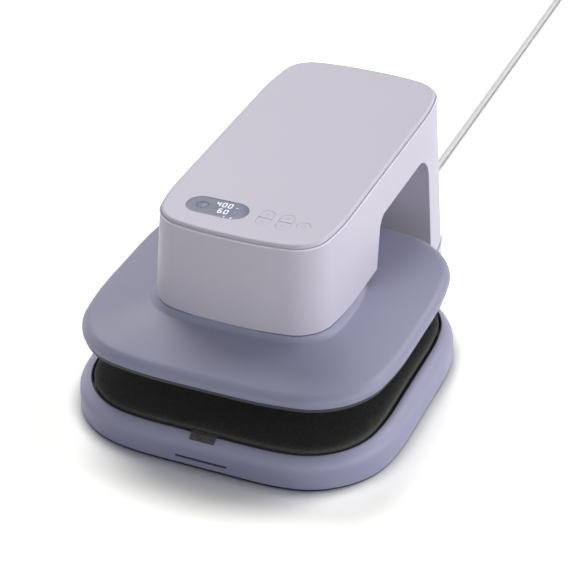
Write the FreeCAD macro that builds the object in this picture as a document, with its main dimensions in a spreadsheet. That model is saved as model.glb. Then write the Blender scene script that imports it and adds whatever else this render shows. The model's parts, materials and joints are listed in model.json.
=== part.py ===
import FreeCAD, Part
import math
import os
import Sketcher

# Automatic heat press: a base with a pressing pad, an arm hinged at the rear of the base,
# and a heated platen that a lead screw drives down out of the arm's head.
# Millimetres. +Z is up, the front of the press looks along -Y, and the origin lies on the
# surface it stands on, under the middle of the press.

# The sizes that drive the model
sizeTable = {
    # whole press
    "overallDepth": 605.8,
    "footStand": 2.0,
    "shellWall": 3.0,
    "slipGap": 0.3,
    "leadAngle": 10.0,
    # base: plan, height of its rim above its bottom, rounded shoulder
    "baseWidth": 446.2,
    "baseDepth": 447.2,
    "baseHeight": 44.0,
    "baseShoulder": 20.5,
    "baseMidRadius": 122.0,
    "baseEndRadius": 290.0,
    "bottomPlateThickness": 3.0,
    # tail of the base under the leg of the arm, with a raised step between leg and pad
    "tailWidth": 272.0,
    "tailLength": 270.0,
    "tailHeight": 39.0,
    "tailMidRadius": 61.0,
    "tailEndRadius": 387.0,
    "tailTopRound": 2.5,
    "stepTop": 56.0,
    "stepLead": 5.0,
    "tailCoverFoot": 24.0,
    # hinge
    "hingeSetback": 22.4,
    "hingeHeight": 47.0,
    "hingePinRadius": 6.0,
    "hingeRunGap": 0.05,
    "barrelRadius": 15.5,
    "barrelLength": 128.0,
    "barrelBore": 9.0,
    "barrelGap": 0.8,
    "springPocketRadius": 13.2,
    "springPocketDepth": 22.0,
    "springWall": 6.4,
    "bushLength": 18.0,
    "bracketThickness": 5.0,
    "bracketEyeRadius": 12.0,
    "bracketReach": 70.0,
    "pinOverhang": 3.0,
    "clipRadius": 8.5,
    "clipThickness": 1.2,
    # steel frame in the base
    "frameThickness": 4.0,
    "frameWidth": 300.0,
    "frameFrontInset": 62.0,
    "frameRearInset": 20.0,
    "frameTailWidth": 218.0,
    "bumperRadius": 5.0,
    "bumperSpacing": 200.0,
    # finger groove in the front of the base
    "grooveWidth": 73.0,
    "grooveHeight": 3.6,
    "grooveDepth": 2.4,
    "grooveLevel": 12.0,
    # pad, its tray and its tab
    "padSideMargin": 20.5,
    "padFrontMargin": 13.8,
    "padMidRadius": 100.0,
    "padEndRadius": 290.0,
    "padSideGap": 0.6,
    "padFloor": 31.0,
    "padTop": 52.0,
    "padCrown": 1.6,
    "padCrownStep": 30.0,
    "padRound": 8.0,
    "padTuck": 2.6,
    "trayThickness": 1.5,
    "tabWidth": 34.0,
    "tabThickness": 0.9,
    "tabStartAngle": 22.0,
    "tabEndAngle": 49.0,
    # arm housing: its outline at the parting line under the cover, and its draft
    "armTopWidth": 240.0,
    "armTopLength": 489.3,
    "armRearSetback": 16.5,
    "armMidRadius": 46.5,
    "armEndRadius": 372.5,
    "draftSlope": 0.065,
    "partingHeight": 286.4,
    "headBottom": 165.2,
    "legBottom": 58.0,
    # arch under the beam
    "archFoot": 17.6,
    "archLean": 0.316,
    "archTopDrop": 55.2,
    "archFrontRadius": 22.0,
    "archRearRadius": 38.0,
    "legFront": 189.5,
    # top cover
    "coverLip": 1.3,
    "coverGap": 0.7,
    "coverThickness": 8.0,
    "coverRise": 5.0,
    "coverRound": 4.2,
    # display window and buttons in the cover
    "controlRow": 146.4,
    "windowX": 41.6,
    "windowLength": 84.0,
    "windowWidth": 40.0,
    "windowThickness": 2.5,
    "windowLedge": 2.5,
    "buttonGap": 0.35,
    "buttonFlange": 1.2,
    "buttonFlangeThickness": 1.5,
    "buttonTravel": 0.8,
    "seatGap": 0.1,
    "startX": 62.0,
    "startRadius": 7.5,
    "dimpleRadius": 24.0,
    "dimpleDepth": 0.9,
    "temperatureX": 24.0,
    "timeX": 51.0,
    "powerX": 76.0,
    "powerRadius": 8.5,
    "rockerWidth": 18.0,
    "rockerLength": 36.0,
    "rockerSplit": 0.8,
    # control board under the cover
    "boardThickness": 1.6,
    "controlBoardLength": 184.0,
    "controlBoardWidth": 48.0,
    "switchHeight": 1.6,
    "switchSize": 6.0,
    "boardPostRadius": 3.0,
    "displayLength": 40.0,
    "displayWidth": 26.0,
    "displayHeight": 9.4,
    # steel cheeks and cross plates of the arm
    "cheekThickness": 4.0,
    "cheekSpacing": 116.0,
    "cheekTopDrop": 9.4,
    "cheekFrontY": 152.0,
    "cheekRearY": 34.0,
    "cheekLegFront": 206.0,
    "cheekFoot": 170.0,
    "bracingFoot": 70.0,
    "plateThickness": 4.0,
    "motorPlateDrop": 52.4,
    "guidePlateLevel": 170.0,
    "beamPlateDrop": 42.4,
    # motor, lead screw, column and guide posts
    "motorWidth": 92.0,
    "motorDepth": 84.0,
    "motorHeight": 26.0,
    "motorCanRadius": 20.0,
    "motorCanHeight": 9.0,
    "screwRadius": 7.0,
    "screwFoot": 145.0,
    "screwHeadRise": 16.0,
    "columnRadius": 20.0,
    "columnBore": 12.0,
    "columnTopDrop": 8.0,
    "columnFlangeRadius": 34.0,
    "columnFlangeThickness": 6.0,
    "nutLength": 20.0,
    "nutFlangeRadius": 18.0,
    "nutFlangeThickness": 4.0,
    "postRadius": 6.0,
    "postSpacing": 84.0,
    "postTopRise": 18.0,
    "postClearance": 0.8,
    "guideBushWall": 4.0,
    "guideBushLength": 14.0,
    "runGap": 0.05,
    # platen: shell, dark rim, neck
    "platenWidth": 430.0,
    "platenDepth": 433.6,
    "platenMidRadius": 104.0,
    "platenEndRadius": 457.0,
    "platenEdge": 120.8,
    "platenSide": 5.0,
    "platenRound": 11.0,
    "platenRoundAngle": 81.0,
    "flareRadius": 8.0,
    "flareAngle": 73.0,
    "plinthTopLevel": 163.0,
    "plinthMargin": 5.5,
    "plinthMidRadius": 54.0,
    "plinthEndRadius": 270.0,
    "neckInset": 9.5,
    "neckMidRadius": 56.0,
    "neckEndRadius": 215.0,
    "neckTopDrop": 6.0,
    "neckWall": 3.0,
    "rimInset": 2.0,
    "rimDrop": 10.0,
    "rimWall": 17.0,
    # heat plate and what lies on it
    "heatPlateLevel": 107.0,
    "heatPlateThickness": 10.0,
    "heatPlateWidth": 390.0,
    "heatPlateDepth": 393.6,
    "heatPlateMidRadius": 88.0,
    "heatPlateEndRadius": 440.0,
    "heatPlateChamfer": 1.2,
    "elementRadius": 4.0,
    "elementRun": 250.0,
    "elementPitch": 52.0,
    "insulationLevel": 126.0,
    "insulationThickness": 5.0,
    "insulationSize": 330.0,
    "insulationCorner": 60.0,
    "insulationFootInset": 10.5,
    "insulationFootSpacing": 132.0,
    "backingThickness": 4.0,
    "bossRadius": 7.0,
    "bossSpacing": 236.0,
    "cutOutRadius": 12.0,
    "cutOutHeight": 8.0,
    # fasteners and feet
    "footRadius": 12.0,
    "footSpigot": 3.0,
    "footSpacingX": 280.0,
    "footSpacingY": 270.0,
    "tailFootSpacing": 170.0,
    "tailFootBack": 60.0,
    "bottomScrewInset": 14.0,
    "screwHeadRadius": 3.5,
    "screwHeadHeight": 2.2,
    "screwShankRadius": 1.6,
    # main board and mains board
    "mainBoardLength": 130.0,
    "mainBoardWidth": 90.0,
    "heatSinkWidth": 45.0,
    "heatSinkLength": 32.0,
    "heatSinkHeight": 8.0,
    "socketRowLength": 72.0,
    "socketRowWidth": 13.0,
    "socketRowInset": 6.5,
    "socketRowHeight": 4.0,
    "mainsBoardLength": 42.0,
    "mainsBoardWidth": 130.0,
    "mainsBoardBack": 118.0,
    "mainsPartInner": 16.0,
    "mainsPartOuter": 45.0,
    "mainsRelayLength": 16.0,
    "mainsFilterLength": 21.0,
    "standoffHeight": 4.0,
    "standoffRadius": 3.0,
    # cord, strain relief and plug
    "cordX": 24.0,
    "cordExitLevel": 16.0,
    "cordRadius": 4.0,
    "cordGap": 0.3,
    "reliefLength": 32.0,
    "reliefRadius": 7.5,
    "reliefTipRadius": 5.2,
    "cordStraightRun": 33.0,
    "cordDropRun": 68.0,
    "coilCentreY": 1268.0,
    "coilRadius": 49.0,
    "coilPitch": 8.9,
    "coilLayer": 8.9,
    "coilTurns": 3.15,
    "cordStub": 24.0,
    "plugLength": 34.0,
    "plugWidth": 25.0,
    "plugHeight": 24.0,
    "plugNeckLength": 14.0,
    "plugNeckRadius": 6.5,
    "plugNeckTipRadius": 5.2,
    "plugRound": 4.4,
    "bladeLength": 17.0,
    "bladeWidth": 6.3,
    "bladeThickness": 1.6,
    "bladeSpacing": 12.7,
    "bladeRise": 3.0,
    "earthRadius": 2.4,
    "earthDrop": 11.9,
    "earthLength": 20.0,
}

doc = FreeCAD.newDocument("AutomaticHeatPress")
sheet = doc.addObject("Spreadsheet::Sheet", "Sizes")
for row, (alias, number) in enumerate(sizeTable.items(), start=1):
    sheet.set("A%d" % row, alias)
    sheet.set("B%d" % row, str(number))
    sheet.setAlias("B%d" % row, alias)
doc.recompute()


class Size:
    """A size worked out from the sheet: its value now, and the expression that binds it."""

    def __init__(self, value, text):
        self.value = value
        self.text = text

    def __add__(self, other):
        return Size(self.value + number(other), "(%s + %s)" % (self.text, words(other)))

    def __radd__(self, other):
        return Size(number(other) + self.value, "(%s + %s)" % (words(other), self.text))

    def __sub__(self, other):
        return Size(self.value - number(other), "(%s - %s)" % (self.text, words(other)))

    def __rsub__(self, other):
        return Size(number(other) - self.value, "(%s - %s)" % (words(other), self.text))

    def __mul__(self, other):
        return Size(self.value * number(other), "(%s * %s)" % (self.text, words(other)))

    __rmul__ = __mul__

    def __truediv__(self, other):
        return Size(self.value / number(other), "(%s / %s)" % (self.text, words(other)))

    def __neg__(self):
        return Size(-self.value, "(0 - %s)" % self.text)

    def root(self):
        return Size(math.sqrt(self.value), "sqrt(%s)" % self.text)


def number(size):
    """The value of a size, or of a plain number."""
    return size.value if isinstance(size, Size) else float(size)


def words(size):
    """The expression of a size, or of a plain number."""
    return size.text if isinstance(size, Size) else "%r" % float(size)


class SizeSheet:
    """Gives each row of the sheet by its name."""

    def __getattr__(self, alias):
        return Size(sizeTable[alias], "Sizes." + alias)


s = SizeSheet()
nodes = {}


def bind(thing, path, size):
    """Ties one property of an object to the sheet."""
    thing.setExpression(path, words(size))


def keep(node, thing):
    """Names the finished solid of one sub-part."""
    thing.Label = node
    nodes[node] = thing
    return thing


def block(name, x, y, z):
    """A box between two faces along each axis."""
    solid = doc.addObject("Part::Box", name)
    bind(solid, "Length", x[1] - x[0])
    bind(solid, "Width", y[1] - y[0])
    bind(solid, "Height", z[1] - z[0])
    bind(solid, "Placement.Base.x", x[0])
    bind(solid, "Placement.Base.y", y[0])
    bind(solid, "Placement.Base.z", z[0])
    return solid


turnTo = {
    "X": FreeCAD.Rotation(FreeCAD.Vector(0, 1, 0), 90),
    "Y": FreeCAD.Rotation(FreeCAD.Vector(1, 0, 0), -90),
    "Z": FreeCAD.Rotation(),
}


def place(solid, axis, start):
    """Turns a round solid from Z to its axis and puts its first end at a point."""
    solid.Placement = FreeCAD.Placement(FreeCAD.Vector(0, 0, 0), turnTo[axis])
    bind(solid, "Placement.Base.x", start[0])
    bind(solid, "Placement.Base.y", start[1])
    bind(solid, "Placement.Base.z", start[2])
    return solid


def rod(name, axis, start, radius, length):
    """A cylinder from a point along an axis."""
    solid = doc.addObject("Part::Cylinder", name)
    bind(solid, "Radius", radius)
    bind(solid, "Height", length)
    return place(solid, axis, start)


def taper(name, axis, start, radius, endRadius, length):
    """A cone from a point along an axis."""
    solid = doc.addObject("Part::Cone", name)
    bind(solid, "Radius1", radius)
    bind(solid, "Radius2", endRadius)
    bind(solid, "Height", length)
    return place(solid, axis, start)


def fuse(name, *solids):
    """One solid, or one group of solids, of several."""
    whole = doc.addObject("Part::MultiFuse", name)
    whole.Shapes = list(solids)
    return whole


def cut(name, base, *tools):
    """A solid with one or more others taken out of it."""
    whole = doc.addObject("Part::Cut", name)
    whole.Base = base
    whole.Tool = tools[0] if len(tools) == 1 else fuse(name + "_tools", *tools)
    return whole


def common(name, base, tool):
    """What two solids share."""
    whole = doc.addObject("Part::Common", name)
    whole.Base = base
    whole.Tool = tool
    return whole


def newSketch(body, name, role, across, along, level):
    """A sketch on an origin plane of its own body, moved in that plane and off it."""
    sketch = body.newObject("Sketcher::SketchObject", name)
    planes = [feature for feature in body.Origin.OriginFeatures if feature.Role == role]
    sketch.AttachmentSupport = [(planes[0], "")]
    sketch.MapMode = "FlatFace"
    bind(sketch, "AttachmentOffset.Base.x", across)
    bind(sketch, "AttachmentOffset.Base.y", along)
    bind(sketch, "AttachmentOffset.Base.z", level)
    return sketch


def hold(sketch, constraint, name, size):
    """Adds a constraint whose value comes from the sheet."""
    index = sketch.addConstraint(constraint)
    sketch.renameConstraint(index, name)
    bind(sketch, "Constraints." + name, size)


class Outline:
    """A plan outline: half sizes, centre, and corners of a tight arc between two easy ones."""

    def __init__(self, halfX, halfY, centreY, midRadius, endRadius):
        self.halfX = halfX
        self.halfY = halfY
        self.centreY = centreY
        self.midRadius = midRadius
        self.endRadius = endRadius

    def grown(self, step):
        """The same outline a step further out all round, or further in."""
        return Outline(self.halfX + step, self.halfY + step, self.centreY,
                       self.midRadius + step, self.endRadius + step)


def cornerArcs(halfX, halfY, midRadius, endRadius, lead, turn):
    """The three tangent arcs of one corner, turned from the +X +Y corner to its own."""
    reach = endRadius * (math.sin(lead) + 1 - math.cos(lead))
    reach += midRadius * (math.cos(lead) - math.sin(lead))
    first = (halfX - endRadius, halfY - reach)
    slip = endRadius - midRadius
    middle = (first[0] + slip * math.cos(lead), first[1] + slip * math.sin(lead))
    last = (halfX - reach, halfY - endRadius)
    quarter = math.pi / 2
    spans = (
        (first, endRadius, 0, lead),
        (middle, midRadius, lead, quarter - lead),
        (last, endRadius, quarter - lead, quarter),
    )
    arcs = []
    for centre, radius, start, end in spans:
        x = centre[0] * math.cos(turn) - centre[1] * math.sin(turn)
        y = centre[0] * math.sin(turn) + centre[1] * math.cos(turn)
        circle = Part.Circle(FreeCAD.Vector(x, y, 0), FreeCAD.Vector(0, 0, 1), radius)
        arcs.append(Part.ArcOfCircle(circle, start + turn, end + turn))
    return arcs


def outlineSketch(body, name, outline, level):
    """A closed outline of four straight sides and four corners of three arcs each."""
    sketch = newSketch(body, name, "XY_Plane", 0, outline.centreY, level)
    halves = (number(outline.halfX), number(outline.halfY))
    radii = (number(outline.midRadius), number(outline.endRadius))
    lead = math.radians(number(s.leadAngle))
    corners = []
    for quarter in range(4):
        halfX, halfY = halves if quarter % 2 == 0 else (halves[1], halves[0])
        corners.append(cornerArcs(halfX, halfY, radii[0], radii[1], lead, quarter * math.pi / 2))
    edges = []
    for quarter in range(4):
        edges.append(Part.LineSegment(corners[quarter - 1][2].EndPoint, corners[quarter][0].StartPoint))
        edges.extend(corners[quarter])
    sketch.addGeometry(edges, False)
    count = len(edges)
    rules = [Sketcher.Constraint("Tangent", i, 2, (i + 1) % count, 1) for i in range(count)]
    for side, rule in ((0, "Vertical"), (4, "Horizontal"), (8, "Vertical"), (12, "Horizontal")):
        rules.append(Sketcher.Constraint(rule, side))
    rules.extend(Sketcher.Constraint("Equal", 2, arc) for arc in (6, 10, 14))
    easyArcs = [1, 3, 5, 7, 9, 11, 13, 15]
    rules.extend(Sketcher.Constraint("Equal", 1, arc) for arc in easyArcs[1:])
    sketch.addConstraint(rules)
    hold(sketch, Sketcher.Constraint("Radius", 2, radii[0]), "midRadius", outline.midRadius)
    hold(sketch, Sketcher.Constraint("Radius", 1, radii[1]), "endRadius", outline.endRadius)
    for arc in easyArcs:
        hold(sketch, Sketcher.Constraint("Angle", arc, lead), "lead%d" % arc, s.leadAngle)
    hold(sketch, Sketcher.Constraint("DistanceX", -1, 1, 0, 1, halves[0]), "right", outline.halfX)
    hold(sketch, Sketcher.Constraint("DistanceX", 8, 1, -1, 1, halves[0]), "left", outline.halfX)
    hold(sketch, Sketcher.Constraint("DistanceY", -1, 1, 4, 1, halves[1]), "back", outline.halfY)
    hold(sketch, Sketcher.Constraint("DistanceY", 12, 1, -1, 1, halves[1]), "front", outline.halfY)
    return sketch


def roundedSketch(body, name, halfX, halfY, corner, centre, level):
    """A closed rectangle with round corners."""
    sketch = newSketch(body, name, "XY_Plane", centre[0], centre[1], level)
    halves = (number(halfX), number(halfY))
    radius = number(corner)
    edges = []
    for quarter in range(4):
        turn = FreeCAD.Rotation(FreeCAD.Vector(0, 0, 1), 90 * quarter)
        x, y = halves if quarter % 2 == 0 else (halves[1], halves[0])
        start = turn.multVec(FreeCAD.Vector(x, radius - y, 0))
        end = turn.multVec(FreeCAD.Vector(x, y - radius, 0))
        edges.append(Part.LineSegment(start, end))
        middle = turn.multVec(FreeCAD.Vector(x - radius, y - radius, 0))
        circle = Part.Circle(middle, FreeCAD.Vector(0, 0, 1), radius)
        begin = quarter * math.pi / 2
        edges.append(Part.ArcOfCircle(circle, begin, begin + math.pi / 2))
    sketch.addGeometry(edges, False)
    rules = [Sketcher.Constraint("Tangent", i, 2, (i + 1) % 8, 1) for i in range(8)]
    for side, rule in ((0, "Vertical"), (2, "Horizontal"), (4, "Vertical"), (6, "Horizontal")):
        rules.append(Sketcher.Constraint(rule, side))
    rules.extend(Sketcher.Constraint("Equal", 1, arc) for arc in (3, 5, 7))
    sketch.addConstraint(rules)
    hold(sketch, Sketcher.Constraint("Radius", 1, radius), "corner", corner)
    hold(sketch, Sketcher.Constraint("DistanceX", -1, 1, 0, 1, halves[0]), "right", halfX)
    hold(sketch, Sketcher.Constraint("DistanceX", 4, 1, -1, 1, halves[0]), "left", halfX)
    hold(sketch, Sketcher.Constraint("DistanceY", -1, 1, 2, 1, halves[1]), "back", halfY)
    hold(sketch, Sketcher.Constraint("DistanceY", 6, 1, -1, 1, halves[1]), "front", halfY)
    return sketch


def pointSketch(body, name, role, points, level):
    """A closed outline of straight lines through points."""
    sketch = newSketch(body, name, role, 0, 0, level)
    spots = [FreeCAD.Vector(number(across), number(up), 0) for across, up in points]
    count = len(spots)
    sketch.addGeometry([Part.LineSegment(spots[i], spots[(i + 1) % count]) for i in range(count)], False)
    sketch.addConstraint([Sketcher.Constraint("Coincident", i, 2, (i + 1) % count, 1) for i in range(count)])
    for i, (across, up) in enumerate(points):
        hold(sketch, Sketcher.Constraint("DistanceX", -1, 1, i, 1, spots[i].x), "across%d" % i, across)
        hold(sketch, Sketcher.Constraint("DistanceY", -1, 1, i, 1, spots[i].y), "up%d" % i, up)
    return sketch


def capsuleSketch(body, name, halfX, radius, centre, level):
    """A stadium along X: two straight sides and two half circles."""
    sketch = newSketch(body, name, "XY_Plane", centre[0], centre[1], level)
    reach = number(halfX) - number(radius)
    tall = number(radius)
    up = FreeCAD.Vector(0, 0, 1)
    edges = [
        Part.LineSegment(FreeCAD.Vector(-reach, -tall, 0), FreeCAD.Vector(reach, -tall, 0)),
        Part.ArcOfCircle(Part.Circle(FreeCAD.Vector(reach, 0, 0), up, tall), -math.pi / 2, math.pi / 2),
        Part.LineSegment(FreeCAD.Vector(reach, tall, 0), FreeCAD.Vector(-reach, tall, 0)),
        Part.ArcOfCircle(Part.Circle(FreeCAD.Vector(-reach, 0, 0), up, tall), math.pi / 2, math.pi * 1.5),
    ]
    sketch.addGeometry(edges, False)
    rules = [Sketcher.Constraint("Tangent", i, 2, (i + 1) % 4, 1) for i in range(4)]
    rules.append(Sketcher.Constraint("Horizontal", 0))
    rules.append(Sketcher.Constraint("PointOnObject", 1, 3, -1))
    sketch.addConstraint(rules)
    hold(sketch, Sketcher.Constraint("Radius", 1, tall), "radius", radius)
    hold(sketch, Sketcher.Constraint("DistanceX", -1, 1, 1, 3, reach), "right", halfX - radius)
    hold(sketch, Sketcher.Constraint("DistanceX", 3, 3, -1, 1, reach), "left", halfX - radius)
    return sketch


def halfCapsuleSketch(body, name, radius, flat, tip, centre, level):
    """One half of a rocker: a straight side towards its twin, and a half circle away from it."""
    sketch = newSketch(body, name, "XY_Plane", centre[0], centre[1], level)
    wide = number(radius)
    low = number(flat)
    high = number(tip)
    side = 1 if high > low else -1
    start, end = (0, math.pi) if side > 0 else (math.pi, 2 * math.pi)
    arc = Part.ArcOfCircle(Part.Circle(FreeCAD.Vector(0, high, 0), FreeCAD.Vector(0, 0, 1), wide), start, end)
    corners = [FreeCAD.Vector(-side * wide, high, 0), FreeCAD.Vector(-side * wide, low, 0)]
    corners += [FreeCAD.Vector(side * wide, low, 0), FreeCAD.Vector(side * wide, high, 0)]
    edges = [arc] + [Part.LineSegment(corners[i], corners[i + 1]) for i in range(3)]
    sketch.addGeometry(edges, False)
    sketch.addConstraint([
        Sketcher.Constraint("Tangent", 0, 2, 1, 1),
        Sketcher.Constraint("Coincident", 1, 2, 2, 1),
        Sketcher.Constraint("Coincident", 2, 2, 3, 1),
        Sketcher.Constraint("Tangent", 3, 2, 0, 1),
        Sketcher.Constraint("Horizontal", 2),
        Sketcher.Constraint("Vertical", 1),
        Sketcher.Constraint("PointOnObject", 0, 3, -2),
    ])
    hold(sketch, Sketcher.Constraint("Radius", 0, wide), "radius", radius)
    hold(sketch, Sketcher.Constraint("DistanceY", -1, 1, 0, 3, high), "centre", tip)
    hold(sketch, Sketcher.Constraint("DistanceY", -1, 1, 2, 1, low), "flat", flat)
    return sketch


def padOf(body, sketch, length, name="Pad"):
    """Pads a sketch by a length in its body."""
    pad = body.newObject("PartDesign::Pad", name)
    pad.Profile = sketch
    bind(pad, "Length", length)
    return pad


def newBody(name):
    return doc.addObject("PartDesign::Body", name)


def outlinePad(name, outline, low, high):
    """A plate of an outline between two levels."""
    body = newBody(name)
    padOf(body, outlineSketch(body, name + "_plan", outline, low), high - low)
    return body


def outlineLoft(name, sections):
    """A solid with straight sides between outlines at rising levels."""
    body = newBody(name)
    plans = []
    for i, (outline, level) in enumerate(sections):
        plans.append(outlineSketch(body, "%s_plan%d" % (name, i), outline, level))
    loft = body.newObject("PartDesign::AdditiveLoft", name + "_loft")
    loft.Profile = plans[0]
    loft.Sections = plans[1:]
    loft.Ruled = True
    return body


def roundedPad(name, halfX, halfY, corner, centre, low, high):
    """A plate with round corners between two levels."""
    body = newBody(name)
    padOf(body, roundedSketch(body, name + "_plan", halfX, halfY, corner, centre, low), high - low)
    return body


def sidePad(name, points, xLow, xHigh):
    """A plate of a side profile, given as (y, z) points, between two places on X."""
    body = newBody(name)
    padOf(body, pointSketch(body, name + "_side", "YZ_Plane", points, xLow), xHigh - xLow)
    return body


def capsulePad(name, halfX, radius, centre, low, high):
    """A stadium-shaped plate between two levels."""
    body = newBody(name)
    padOf(body, capsuleSketch(body, name + "_plan", halfX, radius, centre, low), high - low)
    return body


def dressEdges(body, name, kind, wanted, measure, size):
    """Fillets or chamfers the edges of a body's last feature that a test picks."""
    doc.recompute()
    base = body.Tip
    picked = ["Edge%d" % (i + 1) for i, edge in enumerate(base.Shape.Edges) if wanted(edge)]
    feature = body.newObject("PartDesign::" + kind, name)
    feature.Base = (base, picked)
    bind(feature, measure, size)
    return feature


def roundEdges(body, name, wanted, radius):
    return dressEdges(body, name, "Fillet", wanted, "Radius", radius)


def atLevel(level):
    """A test for edges that lie flat at one level."""
    return lambda edge: all(abs(vertex.Z - number(level)) < 0.01 for vertex in edge.Vertexes)


# Levels and places that several pieces share
halfDepth = s.overallDepth / 2
pressY = s.baseDepth / 2 - halfDepth
baseBottom = s.footStand
baseTop = baseBottom + s.baseHeight
baseInside = baseBottom + s.bottomPlateThickness
recessFloor = s.padFloor - s.trayThickness
baseCeiling = recessFloor - s.shellWall
tailTop = baseBottom + s.tailHeight
tailCentreY = halfDepth - s.tailLength / 2
hingeY = halfDepth - s.hingeSetback
stepRear = hingeY - s.barrelRadius - s.barrelGap
stepFront = s.legFront - s.stepLead
coverTop = s.partingHeight + s.coverRise
coverSeat = coverTop - s.coverThickness
armCentreY = halfDepth - s.armRearSetback - s.armTopLength / 2
controlY = -s.controlRow
cheekInner = s.cheekSpacing / 2 - s.cheekThickness / 2
cheekOuter = s.cheekSpacing / 2 + s.cheekThickness / 2
legRear = halfDepth - s.armRearSetback - s.shellWall * 2

archTop = s.partingHeight - s.archTopDrop
cheekTop = s.partingHeight - s.cheekTopDrop
motorPlateLevel = s.partingHeight - s.motorPlateDrop
beamPlateLevel = s.partingHeight - s.beamPlateDrop
screwHead = motorPlateLevel + s.screwHeadRise
postTop = motorPlateLevel + s.postTopRise
columnTop = motorPlateLevel - s.columnTopDrop
neckTop = motorPlateLevel - s.neckTopDrop

baseOutline = Outline(s.baseWidth / 2, s.baseDepth / 2, pressY, s.baseMidRadius, s.baseEndRadius)
padHalfX = s.baseWidth / 2 - s.padSideMargin
padHalfY = s.baseDepth / 2 - s.padFrontMargin
padOutline = Outline(padHalfX, padHalfY, pressY, s.padMidRadius, s.padEndRadius)
tailOutline = Outline(s.tailWidth / 2, s.tailLength / 2, tailCentreY, s.tailMidRadius, s.tailEndRadius)
platenOutline = Outline(s.platenWidth / 2, s.platenDepth / 2, pressY, s.platenMidRadius, s.platenEndRadius)


def armOutline(level, inset):
    """The arm's plan at a level: it grows downwards by the draft."""
    growth = s.draftSlope * (s.partingHeight - level) - inset
    top = Outline(s.armTopWidth / 2, s.armTopLength / 2, armCentreY, s.armMidRadius, s.armEndRadius)
    return top.grown(growth)


# Base shell: a rounded tray with a recess for the pad, hollow below, and a tail under the leg
def tailSlice(name, outline, low, high, front, rear):
    """The part of a tail outline that lies between two places along Y."""
    plan = outlinePad(name + "_plan", outline, low, high)
    slab = block(name + "_span", (-s.tailWidth, s.tailWidth), (front, rear), (low, high))
    return common(name, plan, slab)


def makeBaseShell():
    under = baseBottom - s.shellWall
    bowl = outlinePad("base_bowl", baseOutline, baseBottom, baseTop)
    roundEdges(bowl, "Shoulder", atLevel(baseTop), s.baseShoulder)
    tail = outlinePad("base_tail", tailOutline, baseBottom, tailTop)
    roundEdges(tail, "TailRound", atLevel(tailTop), s.tailTopRound)
    step = tailSlice("base_step", tailOutline, tailTop - s.shellWall, s.stepTop, stepFront, stepRear)
    solid = fuse("base_solid", bowl, tail, step)

    padRear = pressY + padHalfY + s.padSideGap + s.shellWall
    blockFront = stepRear - s.shellWall
    inner = tailOutline.grown(-s.shellWall)
    recess = outlinePad("pad_recess", padOutline.grown(s.padSideGap), recessFloor, baseTop + s.baseShoulder)
    room = outlinePad("base_room", baseOutline.grown(-s.shellWall), under, baseCeiling)
    tailRoom = tailSlice("tail_room", inner, under, tailTop - s.shellWall, padRear, blockFront)
    lowRoom = tailSlice("tail_low_room", inner, under, baseCeiling - s.shellWall * 2, pressY, blockFront)
    stepRoom = tailSlice("step_room", inner, tailTop - s.shellWall * 2, s.stepTop - s.shellWall,
                         stepFront + s.shellWall, blockFront)
    plateSeat = outlinePad("tail_plate_seat", inner, under, baseInside)

    half = s.barrelLength / 2 + s.barrelGap
    trough = rod("hinge_trough", "X", (-half, hingeY, s.hingeHeight), s.barrelRadius + s.barrelGap, half * 2)
    endHalf = bracketInner + s.bracketThickness + s.pinOverhang + s.barrelGap
    endRoom = rod("pin_end_room", "X", (-endHalf, hingeY, s.hingeHeight), s.clipRadius + s.barrelGap, endHalf * 2)
    slots = []
    for side, word in ((-1, "left"), (1, "right")):
        outer = bracketInner + s.bracketThickness + s.slipGap
        spanX = (half, outer) if side > 0 else (-outer, -half)
        slots.append(block("bracket_slot_" + word, spanX,
                           (blockFront - s.shellWall, hingeY + s.bracketEyeRadius + s.barrelGap),
                           (baseInside, s.stepTop + s.shellWall)))
    wire = rod("cord_way", "Y", (s.cordX, blockFront - s.shellWall, s.cordExitLevel), s.cordRadius + s.barrelGap,
               halfDepth - blockFront + s.shellWall * 2)
    socket = rod("relief_socket", "Y", (s.cordX, halfDepth - s.shellWall * 2, s.cordExitLevel),
                 s.reliefRadius + s.slipGap, s.shellWall * 4)
    shell = cut("base_solid_hollowed", solid, recess, room, tailRoom, lowRoom, stepRoom, plateSeat,
                trough, endRoom, wire, socket, capsuleGroove(), *slots)
    zone = block("tail_cover_zone", (-s.tailWidth, s.tailWidth), (stepFront, halfDepth + s.shellWall),
                 (s.tailCoverFoot, s.stepTop + s.shellWall))
    keep("base_shell", cut("base_shell_solid", shell, zone))
    keep("tail_cover", common("tail_cover_solid", shell, zone))


def capsuleGroove():
    """The finger groove: a shallow slot with round ends in the front face."""
    half = s.grooveWidth / 2
    radius = s.grooveHeight / 2
    front = -halfDepth
    bar = block("groove_bar", (radius - half, half - radius), (front - s.grooveDepth, front + s.grooveDepth),
                (s.grooveLevel - radius, s.grooveLevel + radius))
    ends = []
    for side in (-1, 1):
        ends.append(rod("groove_end_%s" % ("right" if side > 0 else "left"), "Y",
                        (side * (half - radius), front - s.grooveDepth, s.grooveLevel), radius, s.grooveDepth * 2))
    return fuse("groove", bar, *ends)


# Bottom plate, closing the base and its tail, with holes for feet and screws
def footSpots():
    spots = [(side * s.footSpacingX / 2, pressY + way * s.footSpacingY / 2) for side in (-1, 1) for way in (-1, 1)]
    spots += [(side * s.tailFootSpacing / 2, halfDepth - s.tailFootBack) for side in (-1, 1)]
    return spots


def bottomScrewSpots():
    sideways = s.baseWidth / 2 - s.bottomScrewInset
    spots = [(side * sideways, pressY) for side in (-1, 1)]
    spots += [(side * sideways / 3, pressY - s.baseDepth / 2 + s.bottomScrewInset) for side in (-1, 1)]
    spots += [(side * (s.tailFootSpacing / 2), stepRear + s.shellWall * 3) for side in (-1, 1)]
    return spots


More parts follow.
